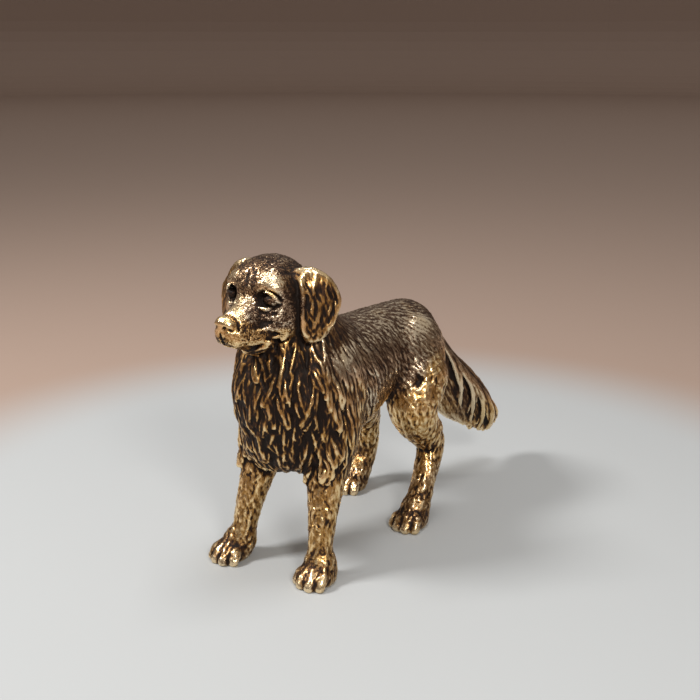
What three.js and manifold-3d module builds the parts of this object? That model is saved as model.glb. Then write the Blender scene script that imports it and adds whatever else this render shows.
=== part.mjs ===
// A cast brass dog: a long-coated retriever that stands on four paws, one solid casting.
// The body is a field of signed distances, built from swept limbs and ellipsoids that flow into
// each other, and skinned with one closed mesh. The figure's own lengths are in hundredths of its
// height. The dog looks towards -Y, its left side is +X and +Z is up.

import * as THREE from "three";
import { mergeVertices } from "three/addons/utils/BufferGeometryUtils.js";
import Module from "manifold-3d";

const wasm = await Module();
wasm.setup();

// Driving dimensions, in millimetres.
const figureHeight = 48; // soles to crown
const skinPitch = 0.31; // grid of the skin, before it is thinned out
const mostTriangles = 9000;

// Sizes that can be set by themselves, in hundredths of the height.
const unit = figureHeight / 100;
const soleDepth = 0.7; // how much of each paw is filed away, so that it stands flat
const earThickness = 2.7;
const eyeRadius = 2.0;
const mouthWidth = 1.1;
const lockLength = 9; // one lock of the mane
const lockWidth = 4;
const lockRelief = 1; // how far a lock stands out of the coat
const strandWidth = 2.4; // the longer strands of shoulders and tail

const V = (x, y, z) => new THREE.Vector3(x, y, z);
const DOWN = V(0, 0, -1);
const LEFT = V(1, 0, 0);
const SIDES = [{ sign: 1 }, { sign: -1 }];

// Where each paw stands: the middle of its pads on the ground.
const PAWS = {
  foreLeft: V(16.4, -28.2, 0),
  foreRight: V(-15.2, -31.6, 0),
  hindLeft: V(17.5, 20.8, 0),
  hindRight: V(-17.2, 33.4, 0),
};

const TINY = 1e-9; // keeps a division from being by nothing

// The smaller of two distances, with the seam rounded over the width.
function blended(a, b, width) {
  const near = Math.max(width - Math.abs(a - b), 0);
  return Math.min(a, b) - (width > 0 ? (near * near) / (4 * width) : 0);
}

// Evenly spaced samples of a smooth line through knots [x, y, z, radius].
function sampled(knots, steps) {
  const smooth = (points) => new THREE.CatmullRomCurve3(points, false, "catmullrom", 0.5);
  const line = smooth(knots.map(([x, y, z]) => V(x, y, z)));
  const girth = smooth(knots.map(([, , , radius]) => V(radius, 0, 0)));
  const count = steps * (knots.length - 1);
  return Array.from({ length: count + 1 }, (_, i) => ({
    point: line.getPoint(i / count),
    radius: girth.getPoint(i / count).x,
  }));
}

// The box around a sampled line and its radii.
function boxAround(line) {
  const box = new THREE.Box3();
  for (const { point, radius } of line) {
    const size = V(1, 1, 1).multiplyScalar(2 * radius);
    box.union(new THREE.Box3().setFromCenterAndSize(point, size));
  }
  return box;
}

// A grid of signed distances, negative inside the metal.
class Casting {
  constructor(low, high, pitch) {
    this.low = low;
    this.pitch = pitch;
    this.size = high.clone().sub(low).divideScalar(pitch).ceil().addScalar(1).toArray();
    this.stride = [this.size[1] * this.size[2], this.size[2], 1];
    this.values = new Float32Array(this.size[0] * this.stride[0]).fill(figureHeight);
  }

  // Merges a shape into the metal, or cuts it out, within the shape's own box.
  merge(box, distance, blend, cut) {
    const margin = blend + 2 * this.pitch;
    const toCell = (corner) => corner.sub(this.low).divideScalar(this.pitch).floor().toArray();
    const from = toCell(box.min.clone().addScalar(-margin)).map((c) => Math.max(c, 0));
    const to = toCell(box.max.clone().addScalar(margin)).map((c, axis) => Math.min(c, this.size[axis] - 1));
    const p = V(0, 0, 0);
    for (let i = from[0]; i <= to[0]; i++)
      for (let j = from[1]; j <= to[1]; j++)
        for (let k = from[2]; k <= to[2]; k++) {
          p.set(i, j, k).multiplyScalar(this.pitch).add(this.low);
          const at = i * this.stride[0] + j * this.stride[1] + k;
          const d = distance(p);
          const old = this.values[at];
          this.values[at] = cut ? -blended(-old, d, blend) : blended(old, d, blend);
        }
  }

  // An ellipsoid with radii along side, along and their cross product.
  blob(centre, radii, blend, { along = V(0, 1, 0), side = LEFT, cut = false } = {}) {
    const a = along.clone().normalize();
    const s = side.clone().addScaledVector(a, -side.dot(a)).normalize();
    const t = s.clone().cross(a);
    const [rs, ra, rt] = radii;
    const reach = (axis) => Math.hypot(s[axis] * rs, a[axis] * ra, t[axis] * rt);
    const size = V(reach("x"), reach("y"), reach("z")).multiplyScalar(2);
    const q = V(0, 0, 0);
    const distance = (p) => {
      q.subVectors(p, centre);
      const [u, v, w] = [q.dot(s), q.dot(a), q.dot(t)];
      const scaled = Math.hypot(u / rs, v / ra, w / rt);
      const slope = Math.hypot(u / rs ** 2, v / ra ** 2, w / rt ** 2);
      return slope < 1e-6 ? -Math.min(rs, ra, rt) : (scaled * (scaled - 1)) / slope;
    };
    this.merge(new THREE.Box3().setFromCenterAndSize(centre, size), distance, blend, cut);
  }

  // A tube of changing radius along a smooth line. Squeezed, its section is an ellipse, whose
  // radius along the squeeze direction is its thickness times the given radius.
  limb(knots, blend, { squeeze = LEFT, thickness = 1, cut = false, steps = 5 } = {}) {
    const warp = (p) => p.addScaledVector(squeeze, (1 / thickness - 1) * p.dot(squeeze));
    const line = sampled(knots, steps);
    const box = boxAround(line);
    line.forEach(({ point }) => warp(point));
    const spans = line.slice(1).map((end, i) => {
      const { point, radius } = line[i];
      const step = end.point.clone().sub(point);
      return { from: point, step, length2: step.lengthSq() + TINY, radius, swell: end.radius - radius };
    });
    const [q, away] = [V(0, 0, 0), V(0, 0, 0)];
    const distance = (p) => {
      warp(q.copy(p));
      let nearest = Infinity;
      for (const span of spans) {
        away.subVectors(q, span.from);
        const t = THREE.MathUtils.clamp(away.dot(span.step) / span.length2, 0, 1);
        const gap = away.addScaledVector(span.step, -t).length();
        nearest = Math.min(nearest, gap - span.radius - t * span.swell);
      }
      return nearest * thickness;
    };
    this.merge(box, distance, blend, cut);
  }

  // A leaf of even thickness along a smooth line, cupped towards its face. The knots' radii are
  // half its breadth.
  flap(knots, face, halfThickness, cup, blend) {
    const line = sampled(knots, 5);
    const box = boxAround(line);
    const flat = (v) => v.addScaledVector(face, -v.dot(face));
    const spans = line.slice(1).map((end, i) => {
      const step = end.point.clone().sub(line[i].point);
      const level = flat(step.clone());
      const swell = end.radius - line[i].radius;
      return { ...line[i], step, level, length2: level.lengthSq() + TINY, swell };
    });
    const [away, across] = [V(0, 0, 0), V(0, 0, 0)];
    const distance = (p) => {
      let nearest = Infinity;
      let lift = 0;
      for (const span of spans) {
        away.subVectors(p, span.point);
        const t = THREE.MathUtils.clamp(flat(across.copy(away)).dot(span.level) / span.length2, 0, 1);
        const breadth = across.addScaledVector(span.level, -t).length();
        const edge = breadth - span.radius - t * span.swell;
        if (edge >= nearest) continue;
        nearest = edge;
        lift = away.addScaledVector(span.step, -t).dot(face) + cup * breadth * breadth;
      }
      return -blended(-nearest, halfThickness - Math.abs(lift), halfThickness);
    };
    this.merge(box, distance, blend, false);
  }

  // The distance at any point, read between the grid's values.
  at(p) {
    const cell = [p.x, p.y, p.z].map((c, axis) => (c - this.low.getComponent(axis)) / this.pitch);
    const [i, j, k] = cell.map((c, axis) => THREE.MathUtils.clamp(Math.floor(c), 0, this.size[axis] - 2));
    const [u, v, w] = [cell[0] - i, cell[1] - j, cell[2] - k];
    const base = i * this.stride[0] + j * this.stride[1] + k;
    const along = (offset, share, stride) => {
      const [a, b] = [this.values[base + offset], this.values[base + offset + stride]];
      return a + (b - a) * share;
    };
    const { lerp } = THREE.MathUtils;
    const row = (offset) => lerp(along(offset, w, 1), along(offset + this.stride[1], w, 1), v);
    return lerp(row(0), row(this.stride[0]), u);
  }

  normal(p) {
    const h = this.pitch;
    const slope = (step) => this.at(p.clone().add(step)) - this.at(p.clone().sub(step));
    return V(slope(V(h, 0, 0)), slope(V(0, h, 0)), slope(V(0, 0, h))).normalize();
  }

  // Where a ray that starts inside the metal comes out.
  surface(origin, direction) {
    const p = origin.clone();
    for (let i = 0; i < 400 && this.at(p) < 0; i++) p.addScaledVector(direction, this.pitch / 2);
    return p;
  }

  // A line that lies on the surface, from a point and along a heading that is bent by each turn.
  combed(start, heading, length, knots, turn) {
    const points = [start.clone()];
    const along = heading.clone();
    while (points.length < knots) {
      const p = points.at(-1).clone();
      const n = this.normal(p);
      along.applyAxisAngle(n, turn / knots);
      along.addScaledVector(n, -along.dot(n)).normalize();
      p.addScaledVector(along, length / (knots - 1));
      points.push(p.addScaledVector(this.normal(p), -this.at(p)));
    }
    return points;
  }

  // A lock of hair: it starts inside the coat, swells, and its rounded tip stands out.
  lock(start, heading, { length, width, relief, turn }) {
    const line = this.combed(start, heading, length, 4, turn);
    const lift = [-0.6, 0, 0.55, 0.5];
    const swell = [0.45, 0.85, 1, 0.62];
    const face = this.normal(line[1]);
    const knots = line.map((p, i) => {
      const raised = p.clone().addScaledVector(this.normal(p), relief * lift[i]);
      return [...raised.toArray(), (width / 2) * swell[i]];
    });
    this.limb(knots, 0.35, { squeeze: face, thickness: 0.62, steps: 3 });
  }
}

function addTrunk(dog) {
  const barrel = [
    [0, -15, 56, 19.6],
    [0, -4, 55, 20],
    [0, 10, 56.5, 17.2],
    [0, 24, 58, 15.4],
    [0, 38, 58.3, 14.4],
    [0, 44, 57.5, 12],
  ];
  dog.limb(barrel, 3, { thickness: 0.82 });
  dog.blob(V(0, 41, 57), [11.6, 10, 13.5], 4);
  dog.blob(V(0, -19.8, 58), [13.6, 14.6, 21], 6);
  dog.blob(V(0, -20, 41), [12.2, 12, 8.4], 5);
  dog.limb([[0, -13, 66, 15.5], [0, -20, 77, 12], [0, -25, 86, 10.5]], 5, { thickness: 0.95 });
}

function addSkull(dog) {
  dog.blob(V(0, -27, 88), [11.2, 11.2, 11.2], 3);
  dog.blob(V(0, -31.8, 90.2), [9.3, 6, 7.6], 3);
  dog.limb([[0, -33, 83.8, 6.3], [0, -40, 81.8, 5.3], [0, -44.6, 80.4, 4.3]], 2.5);
  dog.limb([[0, -28, 76.8, 4.2], [0, -36, 76.2, 3.2], [0, -41.5, 76.6, 2.2]], 1.6);
  for (const { sign } of SIDES) {
    dog.blob(V(6.3 * sign, -29.5, 82), [4.8, 7, 6.2], 3);
    dog.limb([[3.7 * sign, -30, 79, 3.5], [3.5 * sign, -38, 78.2, 3.4], [2.3 * sign, -44, 78.4, 2.7]], 2);
  }
}

// Brows, eyes, nose pad with its nostrils, and the line of the mouth.
function addFace(dog) {
  dog.blob(V(0, -46.8, 82.2), [3.2, 2.1, 2.5], 0.7);
  for (const { sign } of SIDES) {
    const eye = V(6.7 * sign, -35.2, 88.2);
    const slant = V(1, 0, -0.4 * sign);
    dog.blob(V(5.6 * sign, -34.2, 92.6), [4, 2.8, 2.4], 2, { side: slant });
    const socket = eye.clone().add(V(0.6 * sign, -1.7, 0));
    const hollow = [1.45 * eyeRadius, 1.35 * eyeRadius, 1.1 * eyeRadius];
    dog.blob(socket, hollow, 1.2, { side: slant, cut: true });
    dog.blob(eye, [eyeRadius, eyeRadius, 0.85 * eyeRadius], 0.3);
    dog.blob(V(1.7 * sign, -48.5, 82.2), [0.9, 1.2, 0.8], 0.4, { cut: true });
    const lip = [
      [0, -46.6, 78],
      [3.4 * sign, -45.2, 76.6],
      [6.2 * sign, -39, 75.6],
      [7.6 * sign, -33, 76.4],
      [8.6 * sign, -29.4, 79],
    ];
    dog.limb(lip.map((p) => [...p, mouthWidth / 2]), 0.4, { cut: true });
  }
}

// Hanging ears. The left one lies back along the head and the right one flares out.
function addEars(dog) {
  const left = [
    [9.4, -25.8, 94, 2.2],
    [12.4, -23.9, 92, 4.3],
    [14.2, -22.8, 87, 6.2],
    [13.9, -24, 80.6, 5],
    [13.2, -25.4, 77.2, 2.4],
  ];
  const right = [
    [-9.6, -25.4, 94.4, 2.4],
    [-13.6, -26.2, 91.4, 4.2],
    [-16.4, -27, 86, 5.6],
    [-16.2, -27.8, 80.4, 4.6],
    [-15.4, -28.6, 77, 2.4],
  ];
  dog.flap(left, V(0.87, -0.48, 0.1).normalize(), earThickness / 2, 0.016, 1);
  dog.flap(right, V(-0.6, -0.79, 0.1).normalize(), earThickness / 2, 0.016, 1);
}

// Four toes on a rounded pad.
function addPaw(dog, foot, sign) {
  const at = (x, y, z) => foot.clone().add(V(x, y, z));
  dog.blob(at(0, 1, 2.6), [5.4, 5.8, 3.6], 2);
  dog.blob(at(-0.3 * sign, 2.6, 6), [4.5, 4.4, 4.2], 2.5);
  for (const [across, ahead] of [[-4, 3.7], [-1.45, 5.3], [1.45, 5.3], [4, 3.7]]) {
    const toe = [at(0.65 * across, 0.8, 6), at(across, -0.55 * ahead, 4.6), at(1.05 * across, -ahead, 1.9)];
    dog.limb(toe.map((p, i) => [...p.toArray(), [1.3, 1.7, 1.75][i]]), 0.3, { steps: 3 });
  }
}

// A foreleg from the shoulder to the ankle, with a feather of hair behind the elbow.
function addForeleg(dog, foot, sign, shoulder, ankle) {
  dog.blob(V(shoulder.x + 0.2 * sign, shoulder.y + 1, 54), [6.2, 9.5, 15], 4);
  const bone = (share, height, radius) => {
    const middle = shoulder.clone().lerp(ankle, share).setZ(height);
    return [...middle.toArray(), radius];
  };
  const leg = [bone(0, 46, 8), bone(0.3, 33, 6.2), bone(0.68, 21, 4.5), bone(0.92, 12, 3.7), bone(1, 6, 3.9)];
  dog.limb(leg, 3);
  const feather = [bone(0.1, 42, 4), bone(0.3, 34, 4), bone(0.45, 28, 2.6)];
  feather.forEach((knot) => (knot[1] += 5.8));
  dog.limb(feather, 2);
  addPaw(dog, foot, sign);
}

function addHindleg(dog, foot, sign, back) {
  dog.blob(V(10 * sign, 35 + 0.3 * back, 53), [7.3, 12.5, 16], 4);
  const leg = [
    [11 * sign, 33 + 0.5 * back, 49, 10.3],
    [13.2 * sign, 28 + 0.8 * back, 39, 8],
    [14.8 * sign, 34 + back, 29, 5.5],
    [15.3 * sign, 36 + back, 24.5, 4.6],
    [foot.x - 0.8 * sign, foot.y + 8.8, 14, 4],
    [foot.x - 0.4 * sign, foot.y + 5.2, 7, 4.2],
  ];
  dog.limb(leg, 3);
  dog.blob(V(14.7 * sign, 33 + back, 31.5), [5.6, 6, 5.2], 1);
  addPaw(dog, foot, sign);
}

// The plume of the tail, which swings a little to the left.
const TAIL_SLANT = 0.24;
const tailMiddle = (y) => 1.5 + TAIL_SLANT * (y - 54);

function addTail(dog) {
  const across = V(1, -TAIL_SLANT, 0).normalize();
  const onPlane = (y, z, radius) => [tailMiddle(y), y, z, radius];
  const bone = [
    [0, 46, 60, 7],
    onPlane(54, 53, 7),
    onPlane(62, 44, 6.8),
    onPlane(71, 36, 6.6),
    onPlane(79, 28, 6),
    onPlane(86, 20.5, 3.8),
  ];
  dog.limb(bone, 3, { squeeze: across, thickness: 0.62 });
  const feather = [onPlane(58, 40, 6), onPlane(66, 32, 7.6), onPlane(75, 25.5, 6.8), onPlane(83.5, 19, 4.4)];
  dog.limb(feather, 2, { squeeze: across, thickness: 0.5 });
}

// Rows of locks round throat and chest. They are laid from the lowest row up, so that each tip
// covers the roots below it, and each row is half a step on from its neighbours.
function addMane(dog) {
  const [top, bottom, rows] = [74, 40, 7];
  for (let row = rows - 1; row >= 0; row--) {
    const height = THREE.MathUtils.lerp(top, bottom, row / (rows - 1));
    const axis = V(0, -14 - 0.2 * (height - 50), height);
    const half = THREE.MathUtils.degToRad(88 - 3 * row);
    const count = 8 - (row % 2);
    const starts = Array.from({ length: count }, (_, i) => {
      const turn = THREE.MathUtils.lerp(-half, half, i / (count - 1));
      const out = V(Math.sin(turn), -Math.cos(turn), 0);
      return dog.surface(axis, out);
    });
    starts.forEach((start, i) => {
      const length = lockLength * (1 + 0.15 * Math.sin(3.1 * i + row));
      const turn = 0.5 * Math.sin(2.4 * i + 1.7 * row);
      dog.lock(start, DOWN, { length, width: lockWidth, relief: lockRelief, turn });
    });
  }
}

// Long hanging strands behind the mane, over the shoulders.
function addShoulderStrands(dog) {
  for (const { sign } of SIDES)
    for (const [height, first] of [[52, -10], [64, -12]])
      for (let i = 0; i < 4; i++) {
        const start = dog.surface(V(0, first + 4.2 * i, height), V(sign, 0, 0));
        const size = { length: 13, width: 1.2 * strandWidth, relief: 0.4, turn: 0.2 * sign };
        dog.lock(start, V(0, 0.15, -1), size);
      }
}

// A fan of ridges along both faces of the plume, from below its crest to the ends of its hairs.
function addTailStrands(dog) {
  for (const { sign } of SIDES)
    for (let i = 0; i < 8; i++) {
      const [y, z] = [56 + 3.4 * i, 49 - 3.4 * i];
      const start = dog.surface(V(tailMiddle(y), y, z), V(sign, 0, 0));
      const length = 15 + 4 * Math.sin((Math.PI * i) / 7) - 3 * Math.floor(i / 7);
      const size = { length, width: strandWidth, relief: 0.5, turn: -0.3 * sign };
      dog.lock(start, V(0, 0.5, -0.85), size);
    }
}

// The skin: one point in each cell that the surface crosses, and a pair of triangles across each
// edge of the grid that it crosses. Corner c of a cell is at (c & 1, (c >> 1) & 1, c >> 2).
const CORNERS = Array.from({ length: 8 }, (_, c) => [c & 1, (c >> 1) & 1, c >> 2]);
const AXIS_BITS = [1, 2, 4];
const CELL_EDGES = CORNERS.flatMap((_, a) =>
  AXIS_BITS.filter((bit) => !(a & bit)).map((bit) => [a, a | bit]),
);

// Whether the corners in the set are all joined by edges of the cell.
function joined(set) {
  if (!set) return true;
  let group = set & -set;
  for (let i = 0; i < 8; i++)
    for (const [a, b] of CELL_EDGES) {
      const both = (1 << a) | (1 << b);
      if ((set & both) === both && group & both) group |= both;
    }
  return group === set;
}
const PINCHED = Array.from({ length: 256 }, (_, set) => !joined(set) || !joined(255 ^ set));

const BARELY = 1e-3; // how deep inside the metal a filled corner then is

function skinOf({ values, size, stride, low, pitch }) {
  const offsets = CORNERS.map((c) => c[0] * stride[0] + c[1] * stride[1] + c[2]);
  const cells = (visit) => {
    for (let i = 0; i + 1 < size[0]; i++)
      for (let j = 0; j + 1 < size[1]; j++)
        for (let k = 0; k + 1 < size[2]; k++) {
          const base = i * stride[0] + j * stride[1] + k;
          let set = 0;
          for (let c = 0; c < 8; c++) if (values[base + offsets[c]] < 0) set |= 1 << c;
          if (set && set < 255) visit(base, set, i, j, k);
        }
  };
  // Cells where the surface would touch itself are filled at their nearest outer corner.
  for (let pinches = 1; pinches; ) {
    pinches = 0;
    cells((base, set) => {
      if (!PINCHED[set]) return;
      const outer = offsets.map((o) => base + o).filter((at) => values[at] >= 0);
      const nearest = outer.reduce((a, b) => (values[a] < values[b] ? a : b));
      values[nearest] = -BARELY;
      pinches++;
    });
  }
  const vertexOf = new Map();
  const points = [];
  cells((base, set, i, j, k) => {
    const sum = V(0, 0, 0);
    let crossings = 0;
    for (const [a, b] of CELL_EDGES) {
      if (((set >> a) & 1) === ((set >> b) & 1)) continue;
      const [from, to] = [values[base + offsets[a]], values[base + offsets[b]]];
      sum.add(V(...CORNERS[a]).lerp(V(...CORNERS[b]), from / (from - to)));
      crossings++;
    }
    vertexOf.set(base, points.length);
    points.push(sum.divideScalar(crossings).add(V(i, j, k)).multiplyScalar(pitch).add(low));
  });
  const triangles = [];
  for (const [base] of vertexOf)
    for (let axis = 0; axis < 3; axis++) {
      const [u, v] = [stride[(axis + 1) % 3], stride[(axis + 2) % 3]];
      const starts = values[base] < 0;
      if (starts === values[base + stride[axis]] < 0) continue;
      const ring = [base - u - v, base - v, base, base - u].map((at) => vertexOf.get(at));
      const [a, b, c, d] = starts ? ring : ring.reverse();
      const short = points[a].distanceTo(points[c]) < points[b].distanceTo(points[d]);
      triangles.push(...(short ? [[a, b, c], [a, c, d]] : [[b, c, d], [b, d, a]]));
    }
  return { points, triangles };
}

// The squared distances to a set of planes, summed as a quadratic form: the form's ten numbers.
function planeForm(a, b, c, weight) {
  const n = b.clone().sub(a).cross(c.clone().sub(a));
  const area = n.length();
  if (area < TINY * TINY) return new Array(10).fill(0);
  n.divideScalar(area);
  const w = -n.dot(a);
  const products = [
    [n.x * n.x, n.x * n.y, n.x * n.z, n.x * w],
    [n.y * n.y, n.y * n.z, n.y * w],
    [n.z * n.z, n.z * w, w * w],
  ];
  return products.flat().map((m) => m * area * weight);
}

function formAt(q, { x, y, z }) {
  return (
    q[0] * x * x + q[4] * y * y + q[7] * z * z + q[9] +
    2 * (q[1] * x * y + q[2] * x * z + q[5] * y * z + q[3] * x + q[6] * y + q[8] * z)
  );
}

const FLAT = 1e-4; // a form whose planes nearly meet in a line, as a share of its size cubed

// The point where the form is least, or none where the form is flat.
function formMinimum(q) {
  const m = new THREE.Matrix3(q[0], q[1], q[2], q[1], q[4], q[5], q[2], q[5], q[7]);
  const size = q[0] + q[4] + q[7];
  if (Math.abs(m.determinant()) < FLAT * size ** 3) return null;
  return V(-q[3], -q[6], -q[8]).applyMatrix3(m.invert());
}

// How closely the thinned skin keeps to a point: closest on head and paws.
const HEAD = { above: 72, before: -20 };
const PAW_HEIGHT = 9;

function worth({ y, z }) {
  return (z > HEAD.above && y < HEAD.before) || z < PAW_HEIGHT ? 4 : 1;
}

// What the thinning asks of an edge and of the triangles that a collapse leaves.
const LONG_EDGE = 2e-4; // the price of an edge's length, to the fourth power
const LEAST_TURN = 0.3; // cosine between a triangle's faces before and after
const LEAST_AREA = 0.12; // of a triangle, as a share of its longest side squared

// Thins the skin: rounds of the cheapest edge collapses, until few enough triangles are left.
function thinned({ points, triangles }, most) {
  let forms = points.map(() => new Array(10).fill(0));
  for (const [a, b, c] of triangles) {
    const form = planeForm(points[a], points[b], points[c], worth(points[a]));
    for (const v of [a, b, c]) forms[v] = forms[v].map((m, i) => m + form[i]);
  }
  const facing = (a, b, c) => b.clone().sub(a).cross(c.clone().sub(a));
  while (triangles.length > most) {
    const around = points.map(() => []);
    triangles.forEach((t) => t.forEach((v) => around[v].push(t)));
    const ringOf = (v) => new Set(around[v].flat());
    const edges = [];
    for (const t of triangles)
      for (let i = 0; i < 3; i++) {
        const [a, b] = [t[i], t[(i + 1) % 3]];
        if (a > b) continue;
        const form = forms[a].map((m, n) => m + forms[b][n]);
        const middle = points[a].clone().lerp(points[b], 0.5);
        const length = points[a].distanceTo(points[b]);
        const best = formMinimum(form);
        const target = best && best.distanceTo(middle) < length ? best : middle;
        edges.push({ a, b, form, target, cost: formAt(form, target) + LONG_EDGE * length ** 4 });
      }
    edges.sort((e, f) => e.cost - f.cost);
    const busy = new Set();
    let left = triangles.length;
    const limit = Math.max(most, Math.floor(left * 0.75));
    for (const { a, b, form, target } of edges) {
      if (left <= limit) break;
      const [ringA, ringB] = [ringOf(a), ringOf(b)];
      const shared = [...ringA].filter((v) => v !== a && v !== b && ringB.has(v));
      if (shared.length !== 2 || [...ringA, ...ringB].some((v) => busy.has(v))) continue;
      const turns = [a, b].some((v) =>
        around[v].some((t) => {
          if (t.includes(a) && t.includes(b)) return false;
          const before = facing(...t.map((w) => points[w]));
          const moved = t.map((w) => (w === v ? target : points[w]));
          const after = facing(...moved);
          const longest = Math.max(...moved.map((p, i) => p.distanceToSquared(moved[(i + 1) % 3])));
          const turned = before.dot(after) < LEAST_TURN * before.length() * after.length();
          return turned || after.length() < LEAST_AREA * longest;
        }),
      );
      if (turns) continue;
      points[a] = target;
      forms[a] = form;
      for (const t of around[b]) {
        if (t.includes(a)) t.gone = true;
        else t[t.indexOf(b)] = a;
      }
      [...ringA, ...ringB].forEach((v) => busy.add(v));
      left -= 2;
    }
    if (left === triangles.length) break;
    triangles = triangles.filter((t) => !t.gone);
  }
  return { points, triangles };
}

// A closed mesh as a solid, and a solid as a geometry.
function solidOf(positions, index) {
  return new wasm.Manifold(new wasm.Mesh({ numProp: 3, vertProperties: positions, triVerts: index }));
}

function geometryOf(solid) {
  const { vertProperties, triVerts } = solid.getMesh();
  const geometry = new THREE.BufferGeometry();
  geometry.setAttribute("position", new THREE.BufferAttribute(vertProperties, 3));
  geometry.setIndex(new THREE.BufferAttribute(triVerts, 1));
  return geometry;
}

// The ground under the dog, as a block to cut the soles flat with.
function groundBlock(level) {
  const block = new THREE.BoxGeometry(4 * figureHeight, 6 * figureHeight, figureHeight);
  block.translate(0, figureHeight / 4, level - figureHeight / 2);
  block.deleteAttribute("normal");
  block.deleteAttribute("uv");
  const merged = mergeVertices(block);
  return solidOf(merged.attributes.position.array, new Uint32Array(merged.index.array));
}

function castDog() {
  const dog = new Casting(V(-30, -54, -3), V(30, 96, 105), skinPitch / unit);
  addTrunk(dog);
  addSkull(dog);
  addFace(dog);
  addEars(dog);
  addForeleg(dog, PAWS.foreLeft, 1, V(11.2, -14.5, 0), V(15.9, -26, 0));
  addForeleg(dog, PAWS.foreRight, -1, V(-10.8, -16.5, 0), V(-13.2, -28, 0));
  addHindleg(dog, PAWS.hindLeft, 1, 0);
  addHindleg(dog, PAWS.hindRight, -1, 5);
  addTail(dog);
  addMane(dog);
  addShoulderStrands(dog);
  addTailStrands(dog);
  const { points, triangles } = thinned(skinOf(dog), mostTriangles);
  const positions = new Float32Array(points.flatMap((p) => p.toArray().map((c) => c * unit)));
  // The outer skin alone: any pocket that is closed in behind a lock is solid metal.
  const skins = solidOf(positions, new Uint32Array(triangles.flat())).decompose();
  const outer = skins.reduce((a, b) => (a.volume() > b.volume() ? a : b));
  return outer.subtract(groundBlock(soleDepth * unit));
}

const brass = new THREE.MeshStandardMaterial({ color: 0x9a7136, roughness: 0.38, metalness: 1 });
const geometry = geometryOf(castDog());
geometry.computeBoundingBox();
const { min, max } = geometry.boundingBox;
geometry.translate(-(min.x + max.x) / 2, -(min.y + max.y) / 2, -min.z);
geometry.computeVertexNormals();

const figure = new THREE.Mesh(geometry, brass);
figure.name = "dog_figurine";
const group = new THREE.Group();
group.add(figure);

export default group;
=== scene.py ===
"""A cast brass dog in an antique finish: one sculpted skin, dressed and lit for a photograph.

The dog is modelled as a field of signed distances. Broad forms flow into each other on a coarse
grid, and face, ears, paws and hair are laid on a finer one. Lengths inside the sculpture are in
hundredths of the figure's height. The dog looks towards -Y, its left side is +X and +Z is up.
"""

from __future__ import annotations

import logging
import math
from dataclasses import dataclass, field, replace
from enum import Enum
from typing import Callable, ClassVar, Iterable, Sequence

import bpy
import numpy as np
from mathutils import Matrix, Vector


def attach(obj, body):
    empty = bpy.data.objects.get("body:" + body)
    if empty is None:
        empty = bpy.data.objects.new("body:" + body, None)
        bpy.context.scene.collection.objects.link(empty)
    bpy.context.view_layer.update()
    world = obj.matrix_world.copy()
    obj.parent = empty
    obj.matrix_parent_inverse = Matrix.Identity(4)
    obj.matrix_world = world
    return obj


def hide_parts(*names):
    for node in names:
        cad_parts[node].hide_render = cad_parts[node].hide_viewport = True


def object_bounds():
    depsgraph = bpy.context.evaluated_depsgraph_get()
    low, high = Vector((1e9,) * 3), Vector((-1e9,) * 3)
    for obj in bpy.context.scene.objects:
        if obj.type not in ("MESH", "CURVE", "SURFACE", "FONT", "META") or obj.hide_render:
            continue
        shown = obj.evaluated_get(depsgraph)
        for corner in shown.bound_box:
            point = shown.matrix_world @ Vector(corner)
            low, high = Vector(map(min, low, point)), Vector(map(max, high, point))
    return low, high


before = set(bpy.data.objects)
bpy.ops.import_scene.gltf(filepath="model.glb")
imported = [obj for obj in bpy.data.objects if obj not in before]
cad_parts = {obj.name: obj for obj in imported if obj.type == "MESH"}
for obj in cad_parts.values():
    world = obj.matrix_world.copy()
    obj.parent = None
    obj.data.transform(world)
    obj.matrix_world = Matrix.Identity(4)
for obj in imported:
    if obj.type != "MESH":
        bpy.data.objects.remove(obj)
CAD_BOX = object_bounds()

Array = np.ndarray
Point = tuple[float, float, float]
Colour = tuple[float, float, float]
Knots = Sequence[Sequence[float]]
Levels = tuple[float, float, tuple[float, float]]  # the start and end of a range, and of the new one

LOG = logging.getLogger("dog_figurine")
NODE = "dog_figurine"
FIGURE_HEIGHT = 0.048  # metres, soles to crown
UNIT = FIGURE_HEIGHT / 100
SOLE_DEPTH = 0.7  # filed away under each paw, so that it stands flat
FIGURE_MIDDLE = (0.055, 20.52, SOLE_DEPTH)  # the place in the figure that is the frame's origin
LEFT = np.array([1.0, 0.0, 0.0])
DOWN = np.array([0.0, 0.0, -1.0])
SIDES = (1, -1)
FAR = 1e3  # further than any distance on the dog
TINY = 1e-9  # keeps a division by a length of zero away
OVAL = 0.62  # how thick a lock of hair is, as a share of its width
RAY_STRIDE = 0.7  # of a cell, along a ray that looks for the surface


def unit_vector(vector: Sequence[float]) -> Array:
    """Returns the vector with its length set to one."""
    v = np.asarray(vector, float)
    return v / np.linalg.norm(v)


def sideways(sign: int, count: int) -> Array:
    """Returns as many unit vectors to the side of the sign."""
    return np.tile([sign, 0.0, 0.0], (count, 1))


def rounded(a: Array, b: Array, width: float) -> Array:
    """Joins two fields.

    Args:
        a: The first field of distances.
        b: The second field.
        width: How far from the seam the joint is rounded.

    Returns:
        The smaller distance at each point, with the seam rounded.
    """
    if width <= 0:
        return np.minimum(a, b)
    near = np.maximum(width - np.abs(a - b), 0)
    return np.minimum(a, b) - near * near / (4 * width)


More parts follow.
